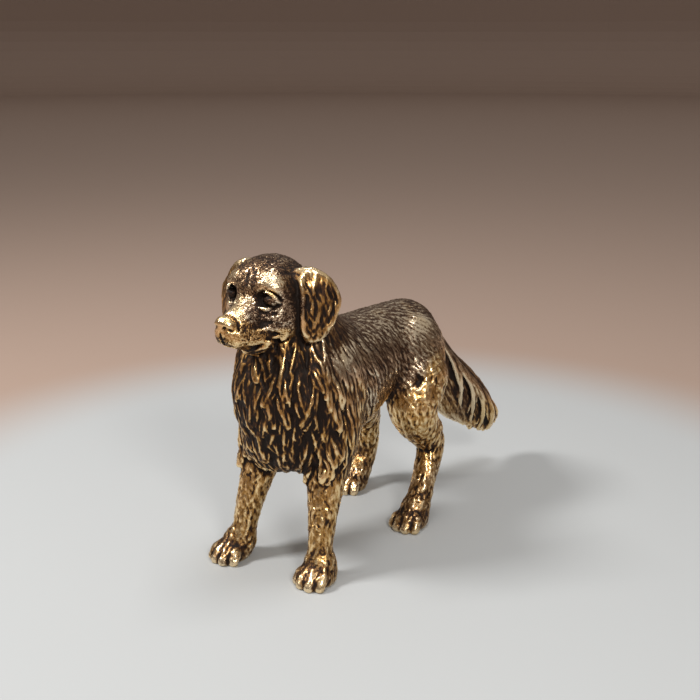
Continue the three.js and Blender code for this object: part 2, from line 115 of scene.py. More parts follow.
def smooth_line(knots: Knots, steps: int) -> Array:
    """Draws a smooth line through knots of any number of coordinates.

    Args:
        knots: The points that the line goes through.
        steps: Samples between one knot and the next.

    Returns:
        The samples, one row each.
    """
    rows = np.asarray(knots, float)
    padded = np.vstack([2 * rows[0] - rows[1], rows, 2 * rows[-1] - rows[-2]])
    share = np.arange(steps)[:, None] / steps
    pieces = []
    for before, start, end, after in zip(padded, padded[1:], padded[2:], padded[3:]):
        linear = (end - before) * share
        square = (2 * before - 5 * start + 4 * end - after) * share**2
        cube = (3 * start - before - 3 * end + after) * share**3
        pieces.append(start + 0.5 * (linear + square + cube))
    return np.vstack([*pieces, rows[-1:]])


@dataclass(frozen=True)
class Lump:
    """An ellipsoid of metal, or a hollow of that form."""

    centre: Point
    radii: Point  # sideways, along the dog and upright
    blend: float  # how far from the seam the joint is rounded

    def on_side(self, sign: int) -> Lump:
        """Returns the lump, made on the left side, on the side of the sign."""
        x, y, z = self.centre
        return replace(self, centre=(sign * x, y, z))

    def sized(self, size: float) -> Lump:
        """Returns the lump with its radii multiplied by a size."""
        return replace(self, radii=tuple(size * radius for radius in self.radii))


@dataclass(frozen=True)
class Tube:
    """A tube along a smooth line, of metal or cut out of it."""

    knots: Knots  # points on the line and the tube's radius there
    blend: float  # how far from the seam the joint is rounded
    thickness: float = 1.0  # its radius in the squeezed direction, as a share

    def on_side(self, sign: int) -> Tube:
        """Returns the tube, made on the left side, on the side of the sign."""
        return replace(self, knots=[(sign * knot[0], *knot[1:]) for knot in self.knots])


@dataclass
class Grain:
    """Soft noise in space, the same on each run."""

    seed: int
    cells: int = 32
    lattice: Array = field(init=False)

    def __post_init__(self) -> None:
        """Draws the lattice of random values."""
        shape = (self.cells,) * 3
        self.lattice = np.random.default_rng(self.seed).uniform(-1, 1, shape).astype(np.float32)

    def at(self, points: Array) -> Array:
        """Reads the noise.

        Args:
            points: Places, in cells of the lattice, one row each.

        Returns:
            A value from -1 to 1 for each place.
        """
        whole = np.floor(points).astype(np.int32)
        part = (points - whole).astype(np.float32)
        part = part * part * (3 - 2 * part)
        low, high = whole % self.cells, (whole + 1) % self.cells
        total = np.zeros(len(points), np.float32)
        for corner in range(8):
            bits = [(corner >> axis) & 1 for axis in range(3)]
            index = [(high if bit else low)[:, axis] for axis, bit in enumerate(bits)]
            share = [part[:, axis] if bit else 1 - part[:, axis] for axis, bit in enumerate(bits)]
            total += self.lattice[index[0], index[1], index[2]] * share[0] * share[1] * share[2]
        return total


@dataclass
class Metal:
    """A grid of signed distances, negative inside the metal."""

    low: Array
    pitch: float
    values: Array
    no_metal: ClassVar[float] = 9.0  # the distance where no metal is near
    least_margin: ClassVar[float] = 0.4  # round a shape, for the slope of the field

    @classmethod
    def empty(cls, low: Sequence[float], high: Sequence[float], pitch: float) -> Metal:
        """Makes a grid with no metal in it.

        Args:
            low: The grid's lowest corner.
            high: Its highest corner.
            pitch: The distance between its points.

        Returns:
            The empty grid.
        """
        size = np.ceil((np.asarray(high, float) - low) / pitch).astype(int) + 1
        return cls(np.asarray(low, float), pitch, np.full(size, cls.no_metal, np.float32))

    def refined(self) -> Metal:
        """Makes the grid finer.

        Returns:
            The same metal on a grid of half the pitch.
        """
        values = self.values
        for axis in range(3):
            v = np.moveaxis(values, axis, 0)
            fine = np.empty((2 * len(v) - 1, *v.shape[1:]), np.float32)
            fine[::2] = v
            fine[1::2] = (v[:-1] + v[1:]) / 2
            fine[3:-3:2] = (9 * (v[1:-2] + v[2:-1]) - v[:-3] - v[3:]) / 16
            values = np.moveaxis(fine, 0, axis)
        return Metal(self.low, self.pitch / 2, np.ascontiguousarray(values))

    def merge(
        self,
        low: Array,
        high: Array,
        distance: Callable[[Array], Array],
        blend: float,
        cut: bool = False,
    ) -> None:
        """Adds a shape to the metal, or cuts it out.

        Args:
            low: The lowest corner of the shape's box.
            high: Its highest corner.
            distance: Gives the shape's signed distance at points.
            blend: How far from the seam the joint is rounded.
            cut: Whether the shape is cut out.
        """
        margin = max(blend, self.least_margin) + 2 * self.pitch
        first = np.floor((low - margin - self.low) / self.pitch).astype(int)
        last = np.ceil((high + margin - self.low) / self.pitch).astype(int) + 1
        first, last = np.maximum(first, 0), np.minimum(last, self.values.shape)
        window = tuple(slice(a, b) for a, b in zip(first, last))
        axes = [self.low[i] + self.pitch * np.arange(first[i], last[i]) for i in range(3)]
        points = np.stack(np.meshgrid(*axes, indexing="ij"), -1).astype(np.float32)
        shape = distance(points)
        old = self.values[window]
        self.values[window] = -rounded(-old, shape, blend) if cut else rounded(old, shape, blend)

    def blob(self, lump: Lump, side: Sequence[float] = LEFT, cut: bool = False) -> None:
        """Merges an ellipsoid.

        Args:
            lump: The ellipsoid.
            side: The direction of its sideways radius.
            cut: Whether it is cut out.
        """
        across = unit_vector(side)
        along = unit_vector(np.array([0.0, 1.0, 0.0]) - across[1] * across)
        turn = np.stack([across, along, np.cross(across, along)]).astype(np.float32)
        r = np.asarray(lump.radii, np.float32)
        reach = np.sqrt(((turn.T * r) ** 2).sum(1))
        middle = np.asarray(lump.centre, np.float32)

        def distance(points: Array) -> Array:
            """Measures how far the ellipsoid is.

            Args:
                points: Places, in their last axis.

            Returns:
                The distance at each place.
            """
            q = (points - middle) @ turn.T
            scaled = np.sqrt(((q / r) ** 2).sum(-1))
            slope = np.sqrt(((q / (r * r)) ** 2).sum(-1)) + 1e-6
            return scaled * (scaled - 1) / slope

        self.merge(middle - reach, middle + reach, distance, lump.blend, cut)

    def limb(
        self, tube: Tube, squeeze: Sequence[float] = LEFT, cut: bool = False, steps: int = 5
    ) -> None:
        """Merges a tube of changing radius along a smooth line.

        Args:
            tube: The tube.
            squeeze: The direction in which it is thinner.
            cut: Whether it is cut out.
            steps: Spans between one knot and the next.
        """
        line = smooth_line(tube.knots, steps)
        thin = unit_vector(squeeze)
        warp = (np.eye(3) + (1 / tube.thickness - 1) * np.outer(thin, thin)).astype(np.float32)
        points_on, radii = line[:, :3], line[:, 3].astype(np.float32)
        warped = (points_on @ warp).astype(np.float32)

        def distance(points: Array) -> Array:
            """Measures how far the tube is.

            Args:
                points: Places, in their last axis.

            Returns:
                The distance at each place.
            """
            q = points @ warp
            nearest = np.full(q.shape[:-1], FAR, np.float32)
            for start, end, radius, next_radius in zip(warped, warped[1:], radii, radii[1:]):
                step = end - start
                away = q - start
                share = np.clip(away @ step / (step @ step + TINY), 0, 1)
                away -= share[..., None] * step
                gap = np.sqrt(np.einsum("...i,...i", away, away))
                np.minimum(nearest, gap - radius - share * (next_radius - radius), out=nearest)
            return nearest * tube.thickness

        most = radii.max()
        self.merge(points_on.min(0) - most, points_on.max(0) + most, distance, tube.blend, cut)

    def flap(self, knots: Knots, face: Array, half: float, cup: float, blend: float) -> None:
        """Merges a leaf of even thickness.

        Args:
            knots: Points on its middle line and half its breadth there.
            face: The direction that it faces.
            half: Half its thickness.
            cup: How much its edges curl to the back.
            blend: How far from the seam the joint is rounded.
        """
        line = smooth_line(knots, 5).astype(np.float32)
        face = face.astype(np.float32)
        most = line[:, 3].max()

        def distance(points: Array) -> Array:
            """Measures how far the leaf is.

            Args:
                points: Places, in their last axis.

            Returns:
                The distance at each place.
            """
            nearest = np.full(points.shape[:-1], FAR, np.float32)
            lift = np.zeros_like(nearest)
            for start, end in zip(line, line[1:]):
                step = end[:3] - start[:3]
                level = step - (step @ face) * face
                away = points - start[:3]
                flat = away - (away @ face)[..., None] * face
                share = np.clip(flat @ level / (level @ level + TINY), 0, 1)
                flat -= share[..., None] * level
                breadth = np.sqrt(np.einsum("...i,...i", flat, flat))
                edge = breadth - start[3] - share * (end[3] - start[3])
                raised = (away - share[..., None] * step) @ face + cup * breadth**2
                closer = edge < nearest
                nearest = np.where(closer, edge, nearest)
                lift = np.where(closer, raised, lift)
            return -rounded(-nearest, half - np.abs(lift), half)

        self.merge(line[:, :3].min(0) - most, line[:, :3].max(0) + most, distance, blend)

    def at(self, points: Array) -> Array:
        """Reads the distances.

        Args:
            points: Places, one row each.

        Returns:
            The signed distance at each place.
        """
        cell = (points - self.low) / self.pitch
        base = np.clip(np.floor(cell).astype(int), 0, np.array(self.values.shape) - 2)
        part = cell - base
        total = np.zeros(len(points))
        for corner in range(8):
            bits = np.array([(corner >> axis) & 1 for axis in range(3)])
            i, j, k = (base + bits).T
            total += self.values[i, j, k] * np.prod(np.where(bits, part, 1 - part), axis=1)
        return total

    def normals(self, points: Array, reach: float = 1.0) -> Array:
        """Finds which way the surface faces.

        Args:
            points: Places, one row each.
            reach: How far apart the distances are read, in pitches.

        Returns:
            A unit vector for each place.
        """
        steps = np.eye(3) * self.pitch * reach
        slope = np.stack([self.at(points + step) - self.at(points - step) for step in steps], 1)
        return slope / (np.linalg.norm(slope, axis=1, keepdims=True) + TINY)

    def settled(self, points: Array, rounds: int = 2) -> Array:
        """Moves points onto the surface.

        Args:
            points: Places near it, one row each.
            rounds: How often they are moved.

        Returns:
            The moved places.
        """
        for _ in range(rounds):
            points = points - self.normals(points) * self.at(points)[:, None]
        return points

    def surface(self, origins: Array, directions: Array) -> Array:
        """Follows rays that start inside the metal.

        Args:
            origins: Where the rays start, one row each.
            directions: Their directions, as unit vectors.

        Returns:
            Where each ray comes out.
        """
        points = np.array(origins, float)
        inside = self.at(points) < 0
        while inside.any():
            points[inside] += directions[inside] * self.pitch * RAY_STRIDE
            inside &= self.at(points) < 0
        return points

    def combed(self, starts: Array, headings: Array, length: Array, turn: Array) -> Array:
        """Draws short lines along the surface.

        Args:
            starts: Where the lines start, one row each.
            headings: Which way they set out.
            length: The length of each.
            turn: How far each bends, in radians.

        Returns:
            Four points of each line, as an array of lines, points and coordinates.
        """
        spans = 3
        rows = [self.settled(starts)]
        along = np.array(headings, float)
        for _ in range(spans):
            n = self.normals(rows[-1], 2)
            along = along + np.cross(n, along) * (turn / spans)[:, None]
            along -= n * np.einsum("ij,ij->i", n, along)[:, None]
            along /= np.linalg.norm(along, axis=1, keepdims=True) + TINY
            rows.append(self.settled(rows[-1] + along * (length / spans)[:, None]))
        return np.stack(rows, 1)


@dataclass
class Skin:
    """A closed surface: its points and its four-sided faces."""

    points: Array
    quads: Array

    @classmethod
    def over(cls, metal: Metal) -> Skin:
        """Stretches a skin over the metal, with a point in each cell that it crosses.

        Args:
            metal: The metal to cover.

        Returns:
            The skin.
        """
        values = metal.values
        inside = values < 0
        size = np.array(values.shape)
        corners = np.array([[(c >> axis) & 1 for axis in range(3)] for c in range(8)])
        count = np.zeros(size - 1, np.uint8)
        for dx, dy, dz in corners:
            count += inside[dx : size[0] - 1 + dx, dy : size[1] - 1 + dy, dz : size[2] - 1 + dz]
        cells = np.argwhere((count > 0) & (count < 8))
        number = np.full(size - 1, -1, np.int64)
        number[tuple(cells.T)] = np.arange(len(cells))
        corner_values = [values[tuple((cells + corner).T)].astype(float) for corner in corners]
        total, crossings = np.zeros((len(cells), 3)), np.zeros(len(cells))
        for a in range(8):
            for bit in (1, 2, 4):
                if a & bit:
                    continue
                start, end = corner_values[a], corner_values[a | bit]
                crossed = (start < 0) != (end < 0)
                share = np.where(crossed, start / np.where(crossed, start - end, 1), 0)
                place = corners[a] + share[:, None] * (corners[a | bit] - corners[a])
                total += crossed[:, None] * place
                crossings += crossed
        points = metal.low + (cells + total / crossings[:, None]) * metal.pitch
        quads = [cls._quads_across(inside, number, axis) for axis in range(3)]
        return cls(points, np.vstack(quads))

    @staticmethod
    def _quads_across(inside: Array, number: Array, axis: int) -> Array:
        """Lays a face across each grid line that the surface crosses.

        Args:
            inside: Where the grid's points are inside the metal.
            number: The number of the skin's point in each cell.
            axis: The axis of the grid lines.

        Returns:
            Four numbers of points for each face.
        """
        size = np.array(inside.shape)
        lower, upper = [slice(None)] * 3, [slice(None)] * 3
        lower[axis], upper[axis] = slice(0, size[axis] - 1), slice(1, size[axis])
        cells = np.argwhere(inside[tuple(lower)] != inside[tuple(upper)])
        u, w = (axis + 1) % 3, (axis + 2) % 3
        step_u, step_w = np.eye(3, dtype=int)[[u, w]]
        ring = (cells - step_u - step_w, cells - step_w, cells, cells - step_u)
        quads = np.stack([number[tuple(corner.T)] for corner in ring], 1)
        turned = ~inside[tuple(cells.T)]
        quads[turned] = quads[turned][:, ::-1]
        return quads

    def outer(self) -> Skin:
        """Drops every piece but the largest.

        Returns:
            The largest connected piece.
        """
        label = np.arange(len(self.points))
        edges = np.vstack([self.quads[:, [i, (i + 1) % 4]] for i in range(4)])
        while True:
            lowest = np.minimum(label[edges[:, 0]], label[edges[:, 1]])
            new = label.copy()
            np.minimum.at(new, edges[:, 0], lowest)
            np.minimum.at(new, edges[:, 1], lowest)
            new = new[new]
            if (new == label).all():
                break
            label = new
        kept = label == np.bincount(label).argmax()
        renumbered = np.cumsum(kept) - 1
        return Skin(self.points[kept], renumbered[self.quads[kept[self.quads[:, 0]]]])

    def normals(self) -> Array:
        """Finds which way the skin faces.

        Returns:
            The unit normal at each point.
        """
        a, b, c, d = (self.points[self.quads[:, i]] for i in range(4))
        facing = np.cross(c - a, d - b)
        total = np.zeros_like(self.points)
        for i in range(4):
            for axis in range(3):
                column = np.bincount(self.quads[:, i], facing[:, axis], len(self.points))
                total[:, axis] += column
        return total / (np.linalg.norm(total, axis=1, keepdims=True) + 1e-12)


@dataclass(frozen=True)
class Stroke:
    """The hair of one kind of coat, in hundredths of the height."""

    length: float
    width: float
    relief: float
    spacing: float
    wave: float


@dataclass(frozen=True)
class Lock:
    """One kind of lock: how wide it is and how it leaves the coat, from its root to its tip."""

    width: float
    relief: float  # how far it stands out
    strands: int = 0  # thin strands that run down it and meet at its tip
    lift: tuple[float, ...] = (-0.6, 0, 0.55, 0.5)  # in shares of the relief
    swell: tuple[float, ...] = (0.5, 0.85, 1, 0.8)  # in shares of the width


class Coat(Enum):
    """How the hair lies on each part of the dog."""

    FACE = Stroke(length=2.0, width=0.8, relief=0.08, spacing=1.5, wave=1.2)
    EAR = Stroke(length=5.0, width=0.8, relief=0.16, spacing=1.6, wave=0.9)
    MANE = Stroke(length=5.5, width=0.85, relief=0.16, spacing=1.7, wave=0.9)
    STRAND = Stroke(length=8.0, width=1.05, relief=0.30, spacing=1.9, wave=0.5)
    BACK = Stroke(length=4.6, width=0.85, relief=0.2, spacing=1.55, wave=0.6)
    THIGH = Stroke(length=3.6, width=1.2, relief=0.24, spacing=2.2, wave=1.4)
    LEG = Stroke(length=4.0, width=1.0, relief=0.2, spacing=2.1, wave=0.9)
    PAW = Stroke(length=3, width=0.8, relief=0.14, spacing=1.8, wave=0.6)
    PLUME = Stroke(length=8.0, width=0.7, relief=0.12, spacing=2.0, wave=0.6)


@dataclass(frozen=True)
class Mark:
    """A place on the dog's left side that says how coat and patina are around it, and where highlights and
    shade are painted in.
    """

    place: tuple[float, float, float]
    reach: float
    heading: tuple[float, float, float]
    coat: Coat
    gold: float  # 0 is grey patina, 1 is warm gold
    wear_and_painted_light: float  # 0 leaves only the highest ridges bright, 1 all but the deepest hollows; set by wear, and by painted highlights and painted shade


@dataclass
class CombingMap:
    """Which way the hair runs, of what coat it is, how bare of patina, and where light and shade are
    painted.
    """

    marks: tuple[Mark, ...] = (
        Mark((0, -25, 99), 8, (0, 1, 0), Coat.FACE, 0.35, 0),
        Mark((0.5, -34, 94.5), 5, (0.2, 0.5, 0.9), Coat.FACE, 0.4, -0.1),
        # Painted highlight on the brow over the eye, partly wear.
        Mark((6.8, -35.8, 93.3), 2.8, (0.2, 0.5, 0.9), Coat.FACE, 0.45, 0.95),
        # The eye and its socket are darkened: the dark of the eye itself, and painted shade in the socket.
        Mark((6.6, -37.4, 88.5), 1.9, (0.2, 0.5, 0.9), Coat.FACE, 0.3, -1.5),
        # Painted shade at the inner corner of the eye.
        Mark((4.3, -38.8, 89.2), 1.2, (0.2, 0.5, 0.9), Coat.FACE, 0.2, -0.6),
        # Painted highlight on the lower lid, partly wear.
        Mark((6.3, -38, 86.3), 1.0, (0.2, 0.5, 0.9), Coat.FACE, 0.7, 1.3),
        # Painted highlight on the upper lid, partly wear.
        Mark((8.6, -36.6, 90.8), 1.1, (0.2, 0.5, 0.9), Coat.FACE, 0.8, 0.9),
        # Painted highlights along the top of the muzzle, partly wear.
        Mark((2, -39.6, 88), 1.8, (0, 1, 0.3), Coat.FACE, 0.4, 1.1),
        Mark((1.8, -43.2, 85.6), 1.7, (0, 1, 0.3), Coat.FACE, 0.5, 1.1),
        Mark((5, -39, 84), 3, (0.2, 1, 0), Coat.FACE, 0.05, 0.3),
        Mark((5, -42, 79), 3.5, (0.1, 1, -0.1), Coat.FACE, 0.85, 0.3),
        Mark((9, -33, 78.5), 2.2, (0.1, 1, -0.2), Coat.FACE, 0.95, 0.5),
        Mark((0, -48, 82.6), 2.2, (0, 1, 0.3), Coat.FACE, 0.95, 0.7),
        Mark((0, -47.6, 78.4), 1.5, (0, 1, -0.3), Coat.FACE, 0.9, -0.7),
        Mark((9, -31, 84), 5, (0.1, 1, -0.6), Coat.FACE, 0.15, 0.4),
        # Painted shade in the gap between the cheek and the ear.
        Mark((11, -27.5, 86), 4.2, (0.1, 1, -0.6), Coat.FACE, 0.1, -0.9),
        Mark((14.5, -24, 85), 7, (0.15, 0, -1), Coat.EAR, 0.8, 0.1),
        # Painted highlight on the top of the ear, partly wear.
        Mark((13.2, -24.8, 93.5), 2.6, (0.15, 0, -1), Coat.EAR, 0.55, 0.9),
        Mark((4, -12, 88), 8, (0.1, 0.6, -0.8), Coat.BACK, 0.3, 0.4),
        Mark((11, -16, 76), 8, (0.1, 0.3, -1), Coat.MANE, 0.4, 0.0),
        Mark((6, -31, 68), 8, (0.1, 0, -1), Coat.MANE, 0.75, -0.25),
        Mark((8, -30, 52), 10, (0.1, 0, -1), Coat.MANE, 0.75, -0.25),
        Mark((4, -26, 38), 7, (0, 0.1, -1), Coat.MANE, 0.6, -0.3),
        # Painted highlight on the shoulder strands, partly wear.
        Mark((15, -13, 66), 7, (0.1, 0.25, -1), Coat.STRAND, 0.3, 1.0),
        Mark((16, -14, 56), 7, (0.1, 0.1, -1), Coat.STRAND, 0.6, 0.35),
        Mark((17, -16, 42), 8, (0.1, -0.1, -1), Coat.STRAND, 0.95, 0.1),
        # The back and flank marks are set brighter, partly wear and partly painted highlights.
        Mark((0, -4, 76), 9, (0.25, 0.9, -0.3), Coat.BACK, 0.2, 0.45),
        Mark((0, 24, 74), 9, (0.2, 0.9, -0.3), Coat.BACK, 0.2, 0.5),
        Mark((2, 44, 70), 7, (0.15, 0.8, -0.6), Coat.BACK, 0.3, 0.2),
        Mark((15, 6, 60), 10, (0.1, 0.55, -0.8), Coat.BACK, 0.25, 0.55),
        # Painted highlight on the flank, partly wear.
        Mark((12, 22, 60), 10, (0.1, 0.5, -0.8), Coat.BACK, 0.25, 0.7),
        Mark((10, 8, 42), 8, (0, 0.35, -0.9), Coat.BACK, 0.75, 0.45),
        # Painted highlight on the rump, partly wear.
        Mark((15, 34, 66), 7, (0.1, 0.6, -0.8), Coat.BACK, 0.35, 1.0),
        Mark((17, 34, 46), 9, (0, 0.1, -1), Coat.THIGH, 0.95, 0.75),
        Mark((15, -24, 24), 9, (0, -0.1, -1), Coat.LEG, 0.85, 0.5),
        Mark((15, -26, 12), 7, (0, -0.1, -1), Coat.LEG, 0.75, 0.5),
        Mark((15, 37, 25), 7, (0, -0.1, -1), Coat.LEG, 0.75, 0.5),
        Mark((16, 31, 13), 8, (0, -0.4, -1), Coat.LEG, 0.6, 0.4),
        Mark((16, -30, 4), 6, (0, -1, -0.6), Coat.PAW, 0.5, 0.2),
        Mark((17, 22, 4), 8, (0, -1, -0.6), Coat.PAW, 0.5, 0.2),
        Mark((1, 56, 52), 7, (0, 0.62, -0.8), Coat.PLUME, 0.25, 0.4),
        Mark((5, 72, 36), 10, (0, 0.55, -0.85), Coat.PLUME, 0.45, 0.4),
        Mark((7, 84, 22), 7, (0, 0.5, -0.9), Coat.PLUME, 0.75, 0.3),
    )
    parting: float = 3.0  # from the middle, where the hair runs fully to its side
    softness: float = 0.02  # keeps one mark from taking all of its own place

    def shares(self, points: Array) -> Array:
        """Weighs the marks.

        Args:
            points: Places on the dog, one row each.

        Returns:
            The share of each mark at each place, one column for each mark.
        """
        folded = np.column_stack([np.abs(points[:, 0]), points[:, 1:]])
        weights = np.empty((len(points), len(self.marks)))
        for column, mark in enumerate(self.marks):
            gap = np.linalg.norm(folded - mark.place, axis=1) / mark.reach
            weights[:, column] = 1 / (self.softness + gap**6)
        return weights / weights.sum(1, keepdims=True)

    def headings(self, points: Array, shares: Array) -> Array:
        """Finds the direction in which the hair runs.

        Args:
            points: Places on the dog, one row each.
            shares: The shares of the marks there.

        Returns:
            A unit vector for each place.
        """
        total = shares @ np.array([mark.heading for mark in self.marks], float)
        total[:, 0] *= np.clip(points[:, 0] / self.parting, -1, 1)
        return total / (np.linalg.norm(total, axis=1, keepdims=True) + TINY)

    def mixed(self, shares: Array, value: Callable[[Mark], float]) -> Array:
        """Returns one of the marks' values, mixed by their shares."""
        return shares @ np.array([value(mark) for mark in self.marks], float)

    def share_of(self, shares: Array, coats: Iterable[Coat]) -> Array:
        """Returns how much of each place belongs to the coats."""
        wanted = set(coats)
        return self.mixed(shares, lambda mark: float(mark.coat in wanted))


@dataclass(frozen=True)
class Body:
    """Trunk and neck, with rump, chest and throat."""

    barrel: Tube = Tube(
        (
            (0, -15, 56, 19.6),
            (0, -4, 55, 20),
            (0, 10, 56.5, 17.2),
            (0, 24, 58, 15.4),
            (0, 38, 58.3, 14.4),
            (0, 44, 57.5, 12),
        ),
        blend=3,
        thickness=0.82,
    )
    rump: Lump = Lump((0, 41, 57), (11.6, 10, 13.5), 4)
    chest: Lump = Lump((0, -19.8, 58), (13.6, 14.6, 21), 6)
    brisket: Lump = Lump((0, -20, 41), (12.2, 12, 8.4), 5)
    neck: Tube = Tube(((0, -13, 66, 15.5), (0, -20, 77, 12), (0, -25, 86, 10.5)), 5, 0.95)

    def build(self, metal: Metal) -> None:
        """Casts the trunk and the neck.

        Args:
            metal: The metal to add them to.
        """
        metal.limb(self.barrel)
        for lump in (self.rump, self.chest, self.brisket):
            metal.blob(lump)
        metal.limb(self.neck)


@dataclass(frozen=True)
class Ear:
    """One ear: a hanging leaf with a raised rim and long waves of hair."""

    knots: Knots  # its middle line, and half its breadth there
    face: Point  # the direction that it faces
    thickness: float = 2.7
    cup: float = 0.016  # how much its edges curl to the back
    rim_radius: float = 0.8
    rim_inset: float = 0.6  # from the leaf's edge
    rim_depth: float = 0.55  # below the leaf's face
    waves: int = 9
    wave_reach: float = 0.74  # of the outermost wave, as a share of half the breadth
    wave_sway: float = 0.45
    wave_radius: float = 0.24
    wave_swell: float = 0.1  # how much the radius changes along a wave
    wave_depth: float = 0.02
    joint: float = 1.0
    rim_joint: float = 0.5
    wave_joint: float = 0.25

    def hang(self, metal: Metal) -> None:
        """Hangs the ear.

        Args:
            metal: The metal to add it to.
        """
        half = self.thickness / 2
        face = unit_vector(self.face)
        metal.flap(self.knots, face, half, self.cup, self.joint)
        line = smooth_line(self.knots, 4)
        across = unit_vector(np.cross(face, DOWN))
        for edge in SIDES:
            inset, lift = self.rim_inset, face * (half - self.rim_depth)
            rim = [
                (*(row[:3] + across * edge * (row[3] - inset) + lift), self.rim_radius)
                for row in line[1:]
            ]
            metal.limb(Tube(rim, self.rim_joint), steps=2)
        for number, share in enumerate(np.linspace(-self.wave_reach, self.wave_reach, self.waves)):
            wave = []
            for i, row in enumerate(line[2:]):
                aside = share * row[3] + self.wave_sway * math.sin(0.9 * i + 2.3 * number)
                radius = self.wave_radius + self.wave_swell * math.sin(1.7 * i + number)
                lift = face * (half - self.wave_depth)
                wave.append((*(row[:3] + across * aside + lift), radius))
            metal.limb(Tube(wave, self.wave_joint), steps=2)


@dataclass(frozen=True)
class Head:
    """Skull, muzzle, face and ears. What comes in pairs is given for the left side."""

    skull: Lump = Lump((0, -27, 88), (11.2, 11.2, 11.2), 3)
    brow: Lump = Lump((0, -31.8, 90.2), (9.3, 6, 7.6), 3)
    cheek: Lump = Lump((6.3, -29.5, 82), (4.8, 7, 6.2), 3)
    muzzle: Tube = Tube(((0, -33, 83.8, 6.3), (0, -40, 81.8, 5.3), (0, -44.6, 80.4, 4.3)), 2.5)
    jaw: Tube = Tube(((0, -28, 76.8, 4.2), (0, -36, 76.2, 3.2), (0, -41.5, 76.6, 2.2)), 1.6)
    lip: Tube = Tube(((3.7, -30, 79, 3.5), (3.5, -38, 78.2, 3.4), (2.3, -44, 78.4, 2.7)), 2)
    nose: Lump = Lump((0, -46.8, 82.5), (3.2, 2.4, 2.7), 0.3)
    nose_crease: Tube = Tube(
        (
            (-3.7, -45.5, 80.6, 0.35),
            (-3.2, -45.1, 83.6, 0.42),
            (0, -45, 85.4, 0.25),
            (3.2, -45.1, 83.6, 0.42),
            (3.7, -45.5, 80.6, 0.35),
        ),
        0.3,
    )
    nose_split: Tube = Tube(((0, -49, 80.2, 0.5), (0, -48.4, 78.6, 0.5), (0, -47.2, 76.8, 0.35)), 0.3)
    nostril: Tube = Tube(
        ((1.5, -48.9, 82.3, 0.65), (2.4, -48.4, 81.9, 0.55), (3.3, -46.9, 81.2, 0.25)), 0.2
    )
    furrow: Tube = Tube(((0, -39, 91.4, 0.1), (0, -38, 93.4, 0.25), (0, -36.9, 95, 0.1)), 1.2)
    eye_radius: float = 2.0
    eyeball: Lump = Lump((7, -35.2, 88.3), (1.1, 1, 0.8), 0.2)  # radii in eye radii
    socket: Lump = Lump((7.3, -36.9, 88.3), (1.75, 1.35, 1.05), 2.2)  # radii in eye radii
    eye_slant: float = -0.4  # how far the outer corner hangs, for each unit sideways
    brow_bone: Lump = Lump((5.6, -34.2, 92.6), (4, 2.8, 2.4), 2)
    lower_lid: Tube = Tube(
        ((5, -38.1, 86.6, 0.1), (6, -37.9, 86.2, 0.6), (7.2, -37.3, 86.1, 0.55), (8.6, -36.1, 86.5, 0.1)),
        0.6,
    )
    upper_lid: Tube = Tube(
        ((6.2, -37.9, 91, 0.2), (7.5, -37.2, 90.8, 0.45), (8.7, -36.1, 89.7, 0.5), (9.9, -34.8, 87.8, 0.3)),
        0.6,
    )
    cheek_creases: tuple[Tube, ...] = (
        Tube(((5.4, -39.6, 84, 0.1), (6.5, -37.9, 82.4, 0.3), (7.8, -36.2, 82.2, 0.2)), 0.5),
        Tube(((4.8, -39.6, 86, 0.1), (6.6, -37.7, 84.6, 0.25), (9, -34.6, 84.8, 0.2)), 0.5),
    )
    mouth_width: float = 1.1
    mouth_joint: float = 0.4
    mouth: Knots = (
        (0, -46.6, 77),
        (3.4, -45.2, 75.8),
        (6, -39.4, 75.6),
        (7.4, -33.4, 76.4),
        (8.4, -29.6, 78.4),
    )
    under_lip: Tube = Tube(
        (
            (2.4, -46.2, 74.6, 1.0),
            (3.6, -43, 74.4, 1.6),
            (5, -38.6, 74.8, 1.9),
            (6.4, -34, 75.6, 1.7),
            (7.4, -30, 76.6, 1.2),
        ),
        0.5,
    )
    lip_roll: Tube = Tube(
        (
            (6, -39.6, 80.4, 0.3),
            (7.4, -36.6, 80.6, 0.5),
            (9, -33.2, 79.8, 0.7),
            (9.3, -31.9, 78, 0.8),
            (8.4, -32.6, 76.4, 0.4),
        ),
        0.8,
    )
    lip_pocket: Lump = Lump((8.1, -35.4, 78.6), (1, 2, 0.7), 0.4)
    whisker_heights: tuple[float, ...] = (77.1, 78.4, 79.7, 81)
    whisker_places: tuple[float, ...] = (-44.6, -43, -41.4, -39.8)  # along the muzzle, at mid height
    whisker_middle: float = 79
    whisker_lean: float = 0.4
    whisker_pit: Point = (0.42, 0.46, 0.4)
    whisker_joint: float = 0.15
    left_ear: Ear = Ear(
        (
            (9.4, -25.8, 94, 2.2),
            (12.4, -23.9, 92, 4.3),
            (14.2, -22.8, 87, 6.2),
            (13.9, -24, 80.6, 5),
            (13.2, -25.4, 77.2, 2.4),
        ),
        (0.87, -0.48, 0.1),
    )
    right_ear: Ear = Ear(
        (
            (-9.6, -25.4, 94.4, 2.4),
            (-13.6, -26.2, 91.4, 4.2),
            (-16.4, -27, 86, 5.6),
            (-16.2, -27.8, 80.4, 4.6),
            (-15.4, -28.6, 77, 2.4),
        ),
        (-0.6, -0.79, 0.1),
    )
    ear_root: Lump = Lump((10.6, -26, 94), (1.3, 1, 1.5), 0.8)

    def build(self, metal: Metal) -> None:
        """Casts the skull, the muzzle and the jaw.

        Args:
            metal: The metal to add them to.
        """
        metal.blob(self.skull)
        metal.blob(self.brow)
        metal.limb(self.muzzle)
        metal.limb(self.jaw)
        for sign in SIDES:
            metal.blob(self.cheek.on_side(sign))
            metal.limb(self.lip.on_side(sign))

